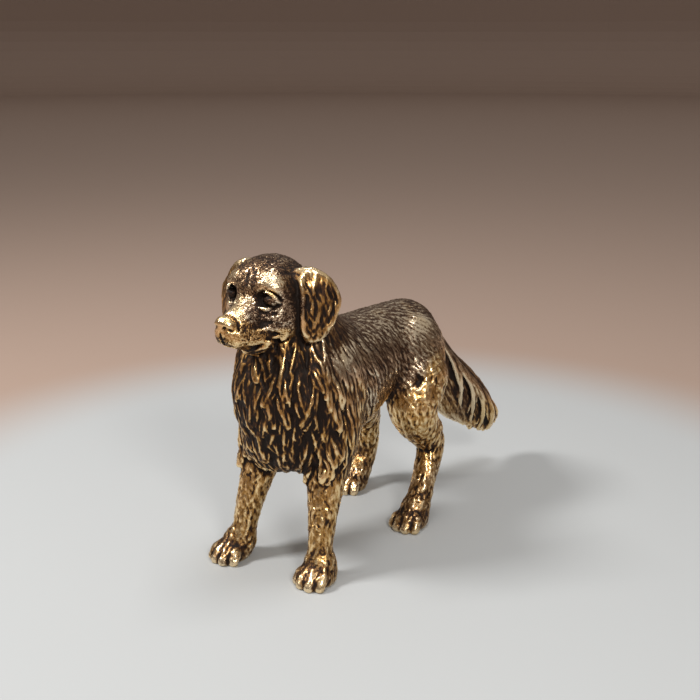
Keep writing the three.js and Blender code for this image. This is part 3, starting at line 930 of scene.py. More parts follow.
    def carve(self, metal: Metal) -> None:
        """Carves the face and hangs the ears.

        Args:
            metal: The metal to carve.
        """
        metal.blob(self.nose)
        for groove in (self.nose_crease, self.furrow, self.nose_split):
            metal.limb(groove, cut=True)
        for sign in SIDES:
            self._eye(metal, sign)
            metal.limb(self.nostril.on_side(sign), cut=True)
            self._mouth(metal, sign)
        self.left_ear.hang(metal)
        self.right_ear.hang(metal)
        metal.blob(self.ear_root)

    def _eye(self, metal: Metal, sign: int) -> None:
        """Carves one deep-set eye under its brow, with its two lids.

        Args:
            metal: The metal to carve.
            sign: The side of the eye.
        """
        slant = (1, 0, self.eye_slant * sign)
        metal.blob(self.brow_bone.on_side(sign), side=slant)
        metal.blob(self.socket.on_side(sign).sized(self.eye_radius), side=slant, cut=True)
        metal.blob(self.eyeball.on_side(sign).sized(self.eye_radius))
        for lid in (self.lower_lid, self.upper_lid):
            metal.limb(lid.on_side(sign))
        for crease in self.cheek_creases:
            metal.limb(crease.on_side(sign), cut=True)

    def _mouth(self, metal: Metal, sign: int) -> None:
        """Cuts one side of the mouth and rolls the lip up round its corner.

        Args:
            metal: The metal to carve.
            sign: The side of the mouth.
        """
        mouth = Tube([(*point, self.mouth_width / 2) for point in self.mouth], self.mouth_joint)
        metal.limb(self.under_lip.on_side(sign), cut=True)
        metal.limb(mouth.on_side(sign), cut=True)
        metal.limb(self.lip_roll.on_side(sign))
        metal.blob(self.lip_pocket.on_side(sign), cut=True)
        rows = [
            (0, y + self.whisker_lean * (z - self.whisker_middle), z)
            for z in self.whisker_heights
            for y in self.whisker_places
        ]
        for pit in metal.surface(np.array(rows), sideways(sign, len(rows))):
            metal.blob(Lump(tuple(pit), self.whisker_pit, self.whisker_joint), cut=True)


@dataclass(frozen=True)
class Paw:
    """One paw: the middle of its pads on the ground, and which side it is on."""

    x: float
    y: float
    sign: int
    pads: tuple[Lump, ...] = (  # given from the middle
        Lump((0, 1, 2.6), (5.4, 5.8, 3.6), 2),
        Lump((-0.3, 2.6, 6), (4.5, 4.4, 4.2), 2.5),
        Lump((0, -0.6, 3.6), (4.8, 4.2, 2.8), 1.5),
    )
    toes: tuple[tuple[float, float], ...] = ((-4, 3.7), (-1.45, 5.3), (1.45, 5.3), (4, 3.7))
    toe: Knots = ((0.8, 0.1, 4.4, 1.1), (1, 0.6, 3.9, 1.6), (1.05, 1, 1.9, 1.7))  # first two are shares
    toe_joint: float = 0.9

    def place(self, across: float, back: float, height: float) -> Point:
        """Returns a point beside the middle of the pads."""
        return (self.x + across, self.y + back, height)

    def build(self, metal: Metal) -> None:
        """Casts the pads of the paw.

        Args:
            metal: The metal to add them to.
        """
        for pad in self.pads:
            metal.blob(replace(pad, centre=self.place(*pad.on_side(self.sign).centre)))

    def carve(self, metal: Metal) -> None:
        """Lays on the four toes.

        Args:
            metal: The metal to add them to.
        """
        for across, ahead in self.toes:
            knots = [(*self.place(out * across, -forth * ahead, z), r) for out, forth, z, r in self.toe]
            metal.limb(Tube(knots, self.toe_joint), steps=4)


@dataclass(frozen=True)
class Foreleg:
    """A foreleg from the shoulder to the ankle."""

    paw: Paw
    shoulder: tuple[float, float]
    ankle: tuple[float, float]
    blade: Lump = Lump((0.2, 1, 54), (6.2, 9.5, 15), 4)  # given from the shoulder
    # each knot is a share of the way from shoulder to ankle, a height and a radius
    bone: Knots = ((0, 46, 8), (0.3, 33, 6.2), (0.68, 21, 4.5), (0.92, 12, 3.7), (1, 6, 3.9))
    feather: Knots = ((0.1, 42, 4), (0.3, 34, 4), (0.45, 28, 2.6))
    feather_back: float = 5.8  # from the bone
    bone_joint: float = 3
    feather_joint: float = 2

    def build(self, metal: Metal) -> None:
        """Casts the leg, with a feather of hair behind the elbow.

        Args:
            metal: The metal to add it to.
        """
        top, foot = np.array(self.shoulder), np.array(self.ankle)
        across, back, height = self.blade.on_side(self.paw.sign).centre
        metal.blob(replace(self.blade, centre=(top[0] + across, top[1] + back, height)))

        def knot(share: float, height: float, radius: float) -> tuple[float, ...]:
            """Returns a knot on the line from the shoulder to the ankle."""
            return (*(top + (foot - top) * share), height, radius)

        metal.limb(Tube([knot(*row) for row in self.bone], self.bone_joint))
        rows = [knot(*row) for row in self.feather]
        feather = [(x, y + self.feather_back, z, r) for x, y, z, r in rows]
        metal.limb(Tube(feather, self.feather_joint))
        self.paw.build(metal)


@dataclass(frozen=True)
class Hindleg:
    """A hind leg from the haunch to the paw, given for the left side."""

    paw: Paw
    back: float  # how far the leg is set back
    haunch: Lump = Lump((10, 35, 53), (7.3, 12.5, 16), 4)
    haunch_share: float = 0.3  # of the setback
    thigh: Knots = (  # the last value is the share of the setback
        (11, 33, 49, 10.3, 0.5),
        (13.2, 28, 39, 8, 0.8),
        (14.8, 34, 29, 5.5, 1),
        (15.3, 36, 24.5, 4.6, 1),
    )
    ankle: Knots = ((-0.8, 8.8, 14, 4), (-0.4, 5.2, 7, 4.2))  # given from the paw
    joint: float = 3
    hock_hair: Lump = Lump((14.7, 33, 31.5), (5.6, 6, 5.2), 1)

    def build(self, metal: Metal) -> None:
        """Casts the leg, with the hair of the thigh ending over the hock.

        Args:
            metal: The metal to add it to.
        """
        sign = self.paw.sign
        metal.blob(self._set_back(self.haunch, self.haunch_share))
        leg = [(x * sign, y + share * self.back, z, r) for x, y, z, r, share in self.thigh]
        leg += [(self.paw.x + x * sign, self.paw.y + y, z, r) for x, y, z, r in self.ankle]
        metal.limb(Tube(leg, self.joint))
        metal.blob(self._set_back(self.hock_hair, 1))
        self.paw.build(metal)

    def _set_back(self, lump: Lump, share: float) -> Lump:
        """Returns the lump on this leg's side, set back by a share."""
        x, y, z = lump.on_side(self.paw.sign).centre
        return replace(lump, centre=(x, y + share * self.back, z))


@dataclass(frozen=True)
class Tail:
    """The plume of the tail, which swings a little to the left."""

    root: Point = (0, 46, 60)
    root_radius: float = 7
    start: float = 54  # where the plume leaves the rump, along the dog
    start_left: float = 1.5
    slant: float = 0.24
    bone: Knots = ((54, 53, 7), (62, 44, 6.8), (71, 36, 6.6), (79, 28, 6), (86, 20.5, 3.8))
    bone_thickness: float = 0.62
    bone_joint: float = 3
    feather: Knots = ((58, 40, 6), (66, 32, 7.6), (75, 25.5, 6.8), (83.5, 19, 4.4))
    feather_thickness: float = 0.5
    feather_joint: float = 2
    ridges: int = 13
    first_ridge: tuple[float, float] = (57, 54.5)
    ridge_step: tuple[float, float] = (2.1, -2.2)
    ridge_length: float = 20
    ridge_fan: float = 3  # how much longer the middle ridges are
    last_full_ridge: int = 10
    tip_loss: float = 4  # of length, from each ridge after it to the next
    ridge_heading: Point = (0, 0.5, -0.85)
    ridge_turn: tuple[float, float] = (-0.2, 0.35)  # in radians: the mean, and how far they differ
    ridge_lock: Lock = Lock(2.0, 1.3, lift=(0, 0.5, 0.6, 0.2), swell=(0.7, 1, 1, 0.7))
    fine_lock: Lock = Lock(1.0, 0.8, lift=(0, 0.5, 0.6, 0.2), swell=(0.7, 1, 1, 0.7))
    fine_shift: Point = (0, 1.4, -0.9)  # from the ridge to the finer one beside it
    fine_length: float = 0.8  # as shares of the ridge's
    fine_turn: float = 1.4

    def middle(self, y: float) -> float:
        """Returns how far to the left the plume's middle is."""
        return self.start_left + self.slant * (y - self.start)

    def build(self, metal: Metal) -> None:
        """Casts the bone and the feather under it.

        Args:
            metal: The metal to add them to.
        """
        across = unit_vector((1, -self.slant, 0))
        bone, feather = (
            [(self.middle(y), y, z, r) for y, z, r in part] for part in (self.bone, self.feather)
        )
        root = (*self.root, self.root_radius)
        metal.limb(Tube([root, *bone], self.bone_joint, self.bone_thickness), squeeze=across)
        metal.limb(Tube(feather, self.feather_joint, self.feather_thickness), squeeze=across)

    def carve(self, metal: Metal, hair: Hair) -> None:
        """Lays a fan of ridges along both faces of the plume.

        Args:
            metal: The metal to lay them on.
            hair: Lays them.
        """
        rank = np.arange(self.ridges)
        (y, z), (back, rise) = self.first_ridge, self.ridge_step
        origins = np.array([(self.middle(y + back * i), y + back * i, z + rise * i) for i in rank])
        fan = self.ridge_fan * np.sin(math.pi * rank / (self.ridges - 1))
        loss = self.tip_loss * np.maximum(rank - self.last_full_ridge, 0)
        length = self.ridge_length + fan - loss
        headings = np.tile(self.ridge_heading, (self.ridges, 1))
        mean, spread = self.ridge_turn
        for sign in SIDES:
            starts = hair.bare.surface(origins, sideways(sign, self.ridges))
            turn = sign * (mean + spread * np.sin(2.2 * rank))
            hair.lay(metal, self.ridge_lock, starts, headings, length, turn)
            starts = starts + self.fine_shift
            finer = (self.fine_length * length, self.fine_turn * turn)
            hair.lay(metal, self.fine_lock, starts, headings, *finer)


@dataclass(frozen=True)
class Hair:
    """Locks and strands that stand out of the coat.

    The numbers inside the sines only keep neighbours from looking alike.
    """

    combing: CombingMap
    bare: Metal  # the form without its hair
    lock_joint: float = 0.3
    strand_joint: float = 0.1
    strand_overhang: float = 0.35  # past the lock's tip, in steps of the strand
    strand_radius: float = 0.42
    strand_spread: tuple[float, ...] = (0.75, 0.9, 1.0, 1.0, 0.95, 0.8, 0.3)  # from root to tip
    mane_rows: int = 9
    mane_heights: tuple[float, float] = (75, 39)  # of the first row and the last
    mane_reach: float = 88  # degrees that the first row reaches to each side
    mane_narrowing: float = 4.5  # degrees that each row reaches less than the last
    mane_axis: tuple[float, float] = (-14, 50)  # a place along the dog, and its height
    mane_axis_lean: float = -0.2  # forwards, for each unit up
    mane_scatter: tuple[float, float, float, float] = (0.07, 1.4, 0.25, 0.5)  # see _ring
    mane_rings: tuple[tuple[Lock, int, float], ...] = (  # locks, how many, and shift down in rows
        (Lock(2.0, 0.2, 2), 11, 0.5),
        (Lock(2.8, 0.5, 3), 10, 0.25),
        (Lock(3.3, 0.9, 3), 8, 0),
    )
    mane_length: float = 11.5
    low_share: float = 0.55  # of the length, for the lowest locks
    low_heights: tuple[float, float] = (40, 54)  # where the lowest locks are, and those of full length
    shoulder_width: float = 2.5
    shoulder_rows: tuple[tuple[float, float, int, float, float], ...] = (
        (50, -19, 8, 13.5, 0.6),  # height, foremost place, strands, length and relief
        (60, -15, 7, 13, 0.5),
        (69, -14, 6, 12, 0.4),
    )
    shoulder_lift: tuple[float, ...] = (-0.5, 0.3, 0.4, -0.2)
    shoulder_spacing: float = 2.6
    shoulder_stagger: float = 1.3  # of every second strand, upwards
    shoulder_heading: Point = (0, 0.12, -1)
    fringe_count: int = 12
    fringe_lock: Lock = Lock(1.6, 0.5)
    fringe_start: Point = (0, -2, 46)
    fringe_step: Point = (0, 1.9, 0.35)
    fringe_heading: Point = (0, -0.75, -0.8)
    fringe_length: float = 9.0
    stroke_scatter: tuple[float, float] = (0.75, 1.25)  # the least and the greatest share of length
    stroke_joint: float = 0.15
    stroke_profile: tuple[float, ...] = (-0.15, 0, 0, -0.1)  # its rise in widths, along a stroke
    stroke_swell: tuple[float, ...] = (0.6, 1, 1, 0.5)
    seed: int = 5

    def lay(
        self,
        metal: Metal,
        lock: Lock,
        starts: Array,
        headings: Array,
        length: Array,
        turn: Array,
    ) -> None:
        """Lays locks on the surface: each starts inside the coat and its tip stands out.

        Args:
            metal: The metal to lay them on.
            lock: Their kind.
            starts: Where they start, one row each.
            headings: Which way they set out.
            length: The length of each.
            turn: How far each bends, in radians.
        """
        lines = self.bare.combed(starts, headings, length, turn)
        faces = self.bare.normals(lines.reshape(-1, 3), 2).reshape(lines.shape)
        lifted = lines + faces * (lock.relief * np.array(lock.lift))[None, :, None]
        radii = lock.width / 2 * np.array(lock.swell)
        for line, face in zip(lifted, faces):
            knots = np.column_stack([line, radii])
            metal.limb(Tube(knots, self.lock_joint, OVAL), squeeze=face[1], steps=3)
            if lock.strands:
                self._strands(metal, knots, face, lock.strands)

    def _strands(self, metal: Metal, knots: Array, faces: Array, count: int) -> None:
        """Runs thin strands down a lock, which meet at its tip.

        Args:
            metal: The metal to lay them on.
            knots: The lock's points and radii.
            faces: Which way the surface faces under each point.
            count: How many strands there are.
        """
        line = smooth_line(np.column_stack([knots, faces]), 2)
        along = np.gradient(line[:, :3], axis=0)
        across = np.cross(line[:, 4:], along)
        across /= np.linalg.norm(across, axis=1, keepdims=True) + TINY
        spread = np.array(self.strand_spread)
        for share in np.linspace(-1, 1, count):
            side = share * spread
            rise = OVAL * np.sqrt(np.maximum(1 - side**2, 0.05)) * line[:, 3]
            place = line[:, :3] + across * (side * line[:, 3])[:, None] + line[:, 4:] * rise[:, None]
            place[-1] += along[-1] * self.strand_overhang
            radii = self.strand_radius * np.ones(len(place))
            metal.limb(Tube(np.column_stack([place, radii]), self.strand_joint), steps=1)

    def mane(self, metal: Metal) -> None:
        """Lays rows of locks round throat and chest, from the lowest row up.

        Args:
            metal: The metal to lay them on.
        """
        top, bottom = self.mane_heights
        step = (bottom - top) / (self.mane_rows - 1)
        for row in reversed(range(self.mane_rows)):
            half = self.mane_reach - self.mane_narrowing * row
            for lock, count, shift in self.mane_rings:
                turns = np.radians(np.linspace(-half, half, count - row % 2))
                self._ring(metal, lock, top + step * (row + shift), turns, row + 3 * shift)

    def _ring(self, metal: Metal, lock: Lock, height: float, turns: Array, phase: float) -> None:
        """Lays one row of hanging locks round the chest.

        The locks differ in place round the chest, height, length and bend by the mane's scatter.

        Args:
            metal: The metal to lay them on.
            lock: Their kind.
            height: The height at which they start.
            turns: Their places round the chest from its middle, in radians.
            phase: Keeps the rows from looking alike.
        """
        i = np.arange(len(turns))
        aside, up, longer, bent = self.mane_scatter
        turns = turns + aside * np.sin(2.3 * i + 2.9 * phase)
        heights = height + up * np.sin(1.9 * i + 2.1 * phase)
        out = np.column_stack([np.sin(turns), -np.cos(turns), 0 * turns])
        foot, foot_height = self.mane_axis
        along = foot + self.mane_axis_lean * (heights - foot_height)
        axis = np.column_stack([0 * turns, along, heights])
        starts = self.bare.surface(axis, out)
        low, full = self.low_heights
        grown = min(max((height - low) / (full - low), 0), 1)
        shorter = self.low_share + (1 - self.low_share) * grown
        length = self.mane_length * shorter * (1 + longer * np.sin(3.1 * i + phase))
        bend = bent * np.sin(2.4 * i + 1.7 * phase)
        self.lay(metal, lock, starts, np.tile(DOWN, (len(turns), 1)), length, bend)

    def shoulders(self, metal: Metal) -> None:
        """Lays long hanging strands over the shoulders, down to a skirt above the elbows.

        Args:
            metal: The metal to lay them on.
        """
        for sign in SIDES:
            for height, first, count, length, relief in self.shoulder_rows:
                lock = Lock(self.shoulder_width, relief, 2, self.shoulder_lift)
                rank = np.arange(count)
                along = first + self.shoulder_spacing * rank
                origins = np.column_stack([0 * rank, along, height + self.shoulder_stagger * (rank % 2)])
                starts = self.bare.surface(origins, sideways(sign, count))
                headings = np.tile(self.shoulder_heading, (count, 1))
                reach = length * (1 + 0.12 * np.sin(2.7 * rank + height))
                turn = sign * (0.05 + 0.18 * np.sin(1.9 * rank + height))
                self.lay(metal, lock, starts, headings, reach, turn)

    def belly(self, metal: Metal) -> None:
        """Lays the fringe under the flanks: long strands that follow the belly's edge.

        Args:
            metal: The metal to lay them on.
        """
        rank = np.arange(self.fringe_count)
        origins = np.array(self.fringe_start) + rank[:, None] * np.array(self.fringe_step)
        headings = np.tile(self.fringe_heading, (self.fringe_count, 1))
        length = np.full(self.fringe_count, self.fringe_length)
        for sign in SIDES:
            starts = self.bare.surface(origins, sideways(sign, self.fringe_count))
            turn = sign * 0.25 * np.sin(2.1 * rank)
            self.lay(metal, self.fringe_lock, starts, headings, length, turn)

    def strokes(self, metal: Metal) -> int:
        """Covers the coat with single strokes of hair, spaced as each coat wants.

        Args:
            metal: The metal to lay them on.

        Returns:
            How many strokes were laid.
        """
        coarse = Metal(metal.low, metal.pitch * 2, np.ascontiguousarray(metal.values[::2, ::2, ::2]))
        points = Skin.over(coarse).outer().points
        random = np.random.default_rng(self.seed)
        points = points[random.permutation(len(points))]
        shares = self.combing.shares(points)
        spacing = self.combing.mixed(shares, lambda mark: mark.coat.value.spacing)
        chosen = self._spaced(points, spacing)
        starts, shares = points[chosen], shares[chosen]

        def style(name: str) -> Array:
            """Returns one size of the strokes, mixed from the coats around."""
            return self.combing.mixed(shares, lambda mark: getattr(mark.coat.value, name))

        headings = self.combing.headings(starts, shares)
        length = style("length") * random.uniform(*self.stroke_scatter, len(starts))
        turn = style("wave") * random.uniform(-1, 1, len(starts))
        width, relief = style("width"), style("relief")
        lines = metal.combed(starts - headings * length[:, None] / 2, headings, length, turn)
        faces = metal.normals(lines.reshape(-1, 3), 2).reshape(lines.shape)
        lift = relief[:, None] - width[:, None] * OVAL / 2
        profile = np.array(self.stroke_profile)
        lifted = lines + faces * (lift + profile * width[:, None])[..., None]
        swell = np.array(self.stroke_swell)
        for line, face, breadth in zip(lifted, faces, width):
            knots = np.column_stack([line, breadth / 2 * swell])
            metal.limb(Tube(knots, self.stroke_joint, OVAL), squeeze=face[1], steps=2)
        return len(starts)

    @staticmethod
    def _spaced(points: Array, spacing: Array) -> list[int]:
        """Chooses points that keep their distance from those chosen before them.

        Args:
            points: Places in random order, one row each.
            spacing: How far each has to be from the others.

        Returns:
            The numbers of the chosen points.
        """
        cell = spacing.max()
        taken: dict[tuple[int, ...], list[int]] = {}
        chosen = []
        keys = np.floor(points / cell).astype(int)
        for i, (point, key) in enumerate(zip(points, keys)):
            near = [
                j
                for dx in (-1, 0, 1)
                for dy in (-1, 0, 1)
                for dz in (-1, 0, 1)
                for j in taken.get((key[0] + dx, key[1] + dy, key[2] + dz), ())
            ]
            if near and (((points[near] - point) ** 2).sum(1) < spacing[i] ** 2).any():
                continue
            taken.setdefault(tuple(key), []).append(i)
            chosen.append(i)
        return chosen


@dataclass(frozen=True)
class Relief:
    """The fine surface: combed grain, pits, and how far each point stands out."""

    combing: CombingMap
    seed: int = 11
    grain_reach: float = 1.6  # how far a streak runs to each side
    grain_samples: int = 9
    grain_depth: float = 0.11  # as a share of a hair's width
    grain_scale: float = 1.15  # cells of noise across a hair
    sway: float = 0.25
    sway_scale: float = 0.12
    pit_layers: tuple[tuple[float, float], ...] = ((0.85, 0.6), (1.7, 0.4))  # scale and share
    pit_level: float = 0.22  # the noise above which a pit starts
    pit_slope: float = 4
    pit_depth: float = 0.22
    bare_nose: Lump = Lump((0, -47, 82), (3.4, 2.6, 3), 0)
    sole_fade: float = 1.5  # height over which the relief fades towards the soles
    middle: float = 0.56  # of the scale that the finish reads
    scales: tuple[tuple[int, float], ...] = ((1, 1.9), (2, 1.5), (5, 0.6))  # cells, and their weight
    grain_tint: float = 0.1
    pit_tint: float = 0.12

    def grain(self, points: Array, shares: Array) -> Array:
        """Finds streaks of noise that run with the hair.

        Args:
            points: Places on the skin, one row each.
            shares: The shares of the marks there.

        Returns:
            A value of about -1 to 1 at each place.
        """
        noise = Grain(self.seed)
        headings = self.combing.headings(points, shares)
        sway = Grain(self.seed + 1).at(points * self.sway_scale)
        headings = headings + np.roll(headings, 1, axis=1) * self.sway * sway[:, None]
        width = self.combing.mixed(shares, lambda mark: mark.coat.value.width)
        total = np.zeros(len(points))
        for step in np.linspace(-self.grain_reach, self.grain_reach, self.grain_samples):
            total += noise.at((points + headings * step) * (self.grain_scale / width)[:, None])
        return np.clip(total / (2 * total.std() + TINY), -1, 1)

    def pits(self, points: Array) -> Array:
        """Scatters small sunk spots.

        Args:
            points: Places on the skin, one row each.

        Returns:
            How deep in a spot each place is, from 0 to 1.
        """
        spots = np.zeros(len(points), np.float32)
        for layer, (scale, share) in enumerate(self.pit_layers, start=2):
            spots = spots + Grain(self.seed + layer).at(points * scale) * share
        return np.clip((spots - self.pit_level) * self.pit_slope, 0, 1)

    def bare(self, points: Array) -> Array:
        """Returns how much each place belongs to the bare leather of the nose, from 0 to 1."""
        nose = self.bare_nose
        return np.exp(-(((points - nose.centre) / nose.radii) ** 2).sum(1))

    def finish(self, skin: Skin, metal: Metal) -> dict[str, Array]:
        """Adds the finest relief to the skin and measures what stands out of it.

        Args:
            skin: The skin, whose points are moved.
            metal: The metal under it.

        Returns:
            The values that the finish needs, by name, at each point.
        """
        combing = self.combing
        shares = combing.shares(skin.points)
        grain = self.grain(skin.points, shares)
        pits = self.pits(skin.points)
        rough = combing.share_of(shares, (Coat.LEG, Coat.THIGH, Coat.FACE, Coat.PAW))
        depth = combing.mixed(shares, lambda mark: mark.coat.value.width) * self.grain_depth
        haired = 1 - self.bare(skin.points)
        lift = (depth * grain - self.pit_depth * rough * pits) * haired
        flat = np.clip((skin.points[:, 2] - SOLE_DEPTH) / self.sole_fade, 0, 1)
        # Hollows read low and go dark: the patina that lies in them, and, through the widest average,
        # painted shade in broad recesses.
        ridge = self.middle
        for cells, weight in self.scales:
            ridge = ridge + weight * (0.5 - filled_share(metal, cells).at(skin.points))
        ridge += self.grain_tint * grain - self.pit_tint * rough * pits
        skin.points = skin.points + skin.normals() * (lift * flat)[:, None]
        return {
            "ridge": np.clip(ridge, 0, 1),
            "gold": combing.mixed(shares, lambda mark: mark.gold),
            # Wear, with painted highlights and painted shade, from the marks.
            "wear_and_painted_light": combing.mixed(shares, lambda mark: mark.wear_and_painted_light),
            "flank": combing.share_of(shares, (Coat.BACK,)),
            "plume": combing.share_of(shares, (Coat.PLUME,)),
            "rough": rough,
            "face": combing.share_of(shares, (Coat.FACE,)) * haired,
        }


def filled_share(metal: Metal, cells: int) -> Metal:
    """Averages how full of metal the space is.

    Args:
        metal: The metal.
        cells: How many cells to each side are averaged, twice over.

    Returns:
        A grid with the metal's share around each point.
    """
    full = np.clip(0.5 - metal.values / metal.pitch, 0, 1).astype(np.float32)
    for axis in (0, 1, 2) * 2:
        v = np.moveaxis(full, axis, 0)
        ends = [(cells + 1, cells)] + [(0, 0)] * 2
        total = np.cumsum(np.pad(v, ends), axis=0)
        full = np.moveaxis((total[2 * cells + 1 :] - total[: -2 * cells - 1]) / (2 * cells + 1), 0, axis)
    return Metal(metal.low, metal.pitch, full)


@dataclass(frozen=True)
class Dog:
    """The whole casting."""

    name: str = "dog_casting"
    coarse_pitch: float = 0.7
    most_triangles: int = 196000
    low: Point = (-30, -54, -3)  # the corners of the space that it is cast in
    high: Point = (30, 96, 105)
    body: Body = Body()
    head: Head = Head()
    forelegs: tuple[Foreleg, ...] = (
        Foreleg(Paw(16.4, -28.2, 1), (11.2, -14.5), (15.9, -26)),
        Foreleg(Paw(-15.2, -31.6, -1), (-10.8, -16.5), (-13.2, -28)),
    )
    hindlegs: tuple[Hindleg, ...] = (
        Hindleg(Paw(17.5, 20.8, 1), 0),
        Hindleg(Paw(-17.2, 33.4, -1), 5),
    )
    tail: Tail = Tail()
    thigh_dimple: Lump = Lump((17.2, 24.2, 51.2), (1, 2.2, 1.6), 1.5)

    def sculpt(self) -> tuple[Skin, dict[str, Array]]:
        """Sculpts the dog.

        Returns:
            Its skin, in hundredths of its height, and the values that the finish needs there.
        """
        metal = Metal.empty(self.low, self.high, self.coarse_pitch)
        for part in (self.body, self.head, *self.forelegs, *self.hindlegs, self.tail):
            part.build(metal)
        metal = metal.refined()
        LOG.info("forms cast on a grid of %s", metal.values.shape)
        self.head.carve(metal)
        for leg in (*self.forelegs, *self.hindlegs):
            leg.paw.carve(metal)
        metal.blob(self.thigh_dimple, cut=True)
        combing = CombingMap()
        hair = Hair(combing, replace(metal, values=metal.values.copy()))
        hair.mane(metal)
        hair.shoulders(metal)
        hair.belly(metal)
        self.tail.carve(metal, hair)
        LOG.info("locks laid, and %d strokes", hair.strokes(metal))
        ground = metal.low[2] + metal.pitch * np.arange(metal.values.shape[2])
        metal.values = np.maximum(metal.values, (SOLE_DEPTH - ground).astype(np.float32))
        skin = Skin.over(metal).outer()
        LOG.info("skin of %d faces", len(skin.quads))
        skin.points = metal.settled(skin.points, 1)
        return skin, Relief(combing).finish(skin, metal)

    def build(self) -> bpy.types.Object:
        """Casts the dog and stands it in the frame.

        Returns:
            The finished piece.
        """
        skin, values = self.sculpt()
        places = np.clip((skin.points - FIGURE_MIDDLE) * UNIT, *CAD_BOX)
        mesh = bpy.data.meshes.new(self.name)
        mesh.from_pydata(places.tolist(), [], skin.quads.tolist())
        for name, column in values.items():
            attribute = mesh.attributes.new(name, "FLOAT", "POINT")
            attribute.data.foreach_set("value", column.astype(np.float32))
        piece = bpy.data.objects.new(self.name, mesh)
        bpy.context.scene.collection.objects.link(piece)
        self._thin(piece)
        piece.data.polygons.foreach_set("use_smooth", [True] * len(piece.data.polygons))
        LOG.info("casting: %d triangles", len(piece.data.polygons))
        return piece

    def _thin(self, piece: bpy.types.Object) -> None:
        """Thins the mesh out to the number of triangles it may have.

        Args:
            piece: The casting, with its full mesh.
        """
        triangles = 2 * len(piece.data.polygons)
        modifier = piece.modifiers.new("thin", "DECIMATE")
        modifier.ratio = min(1.0, self.most_triangles / triangles)
        modifier.use_collapse_triangulate = True
        graph = bpy.context.evaluated_depsgraph_get()
        thinned = bpy.data.meshes.new_from_object(piece.evaluated_get(graph))
        thinned.name = f"{self.name}_mesh"
        piece.modifiers.clear()
        piece.data = thinned


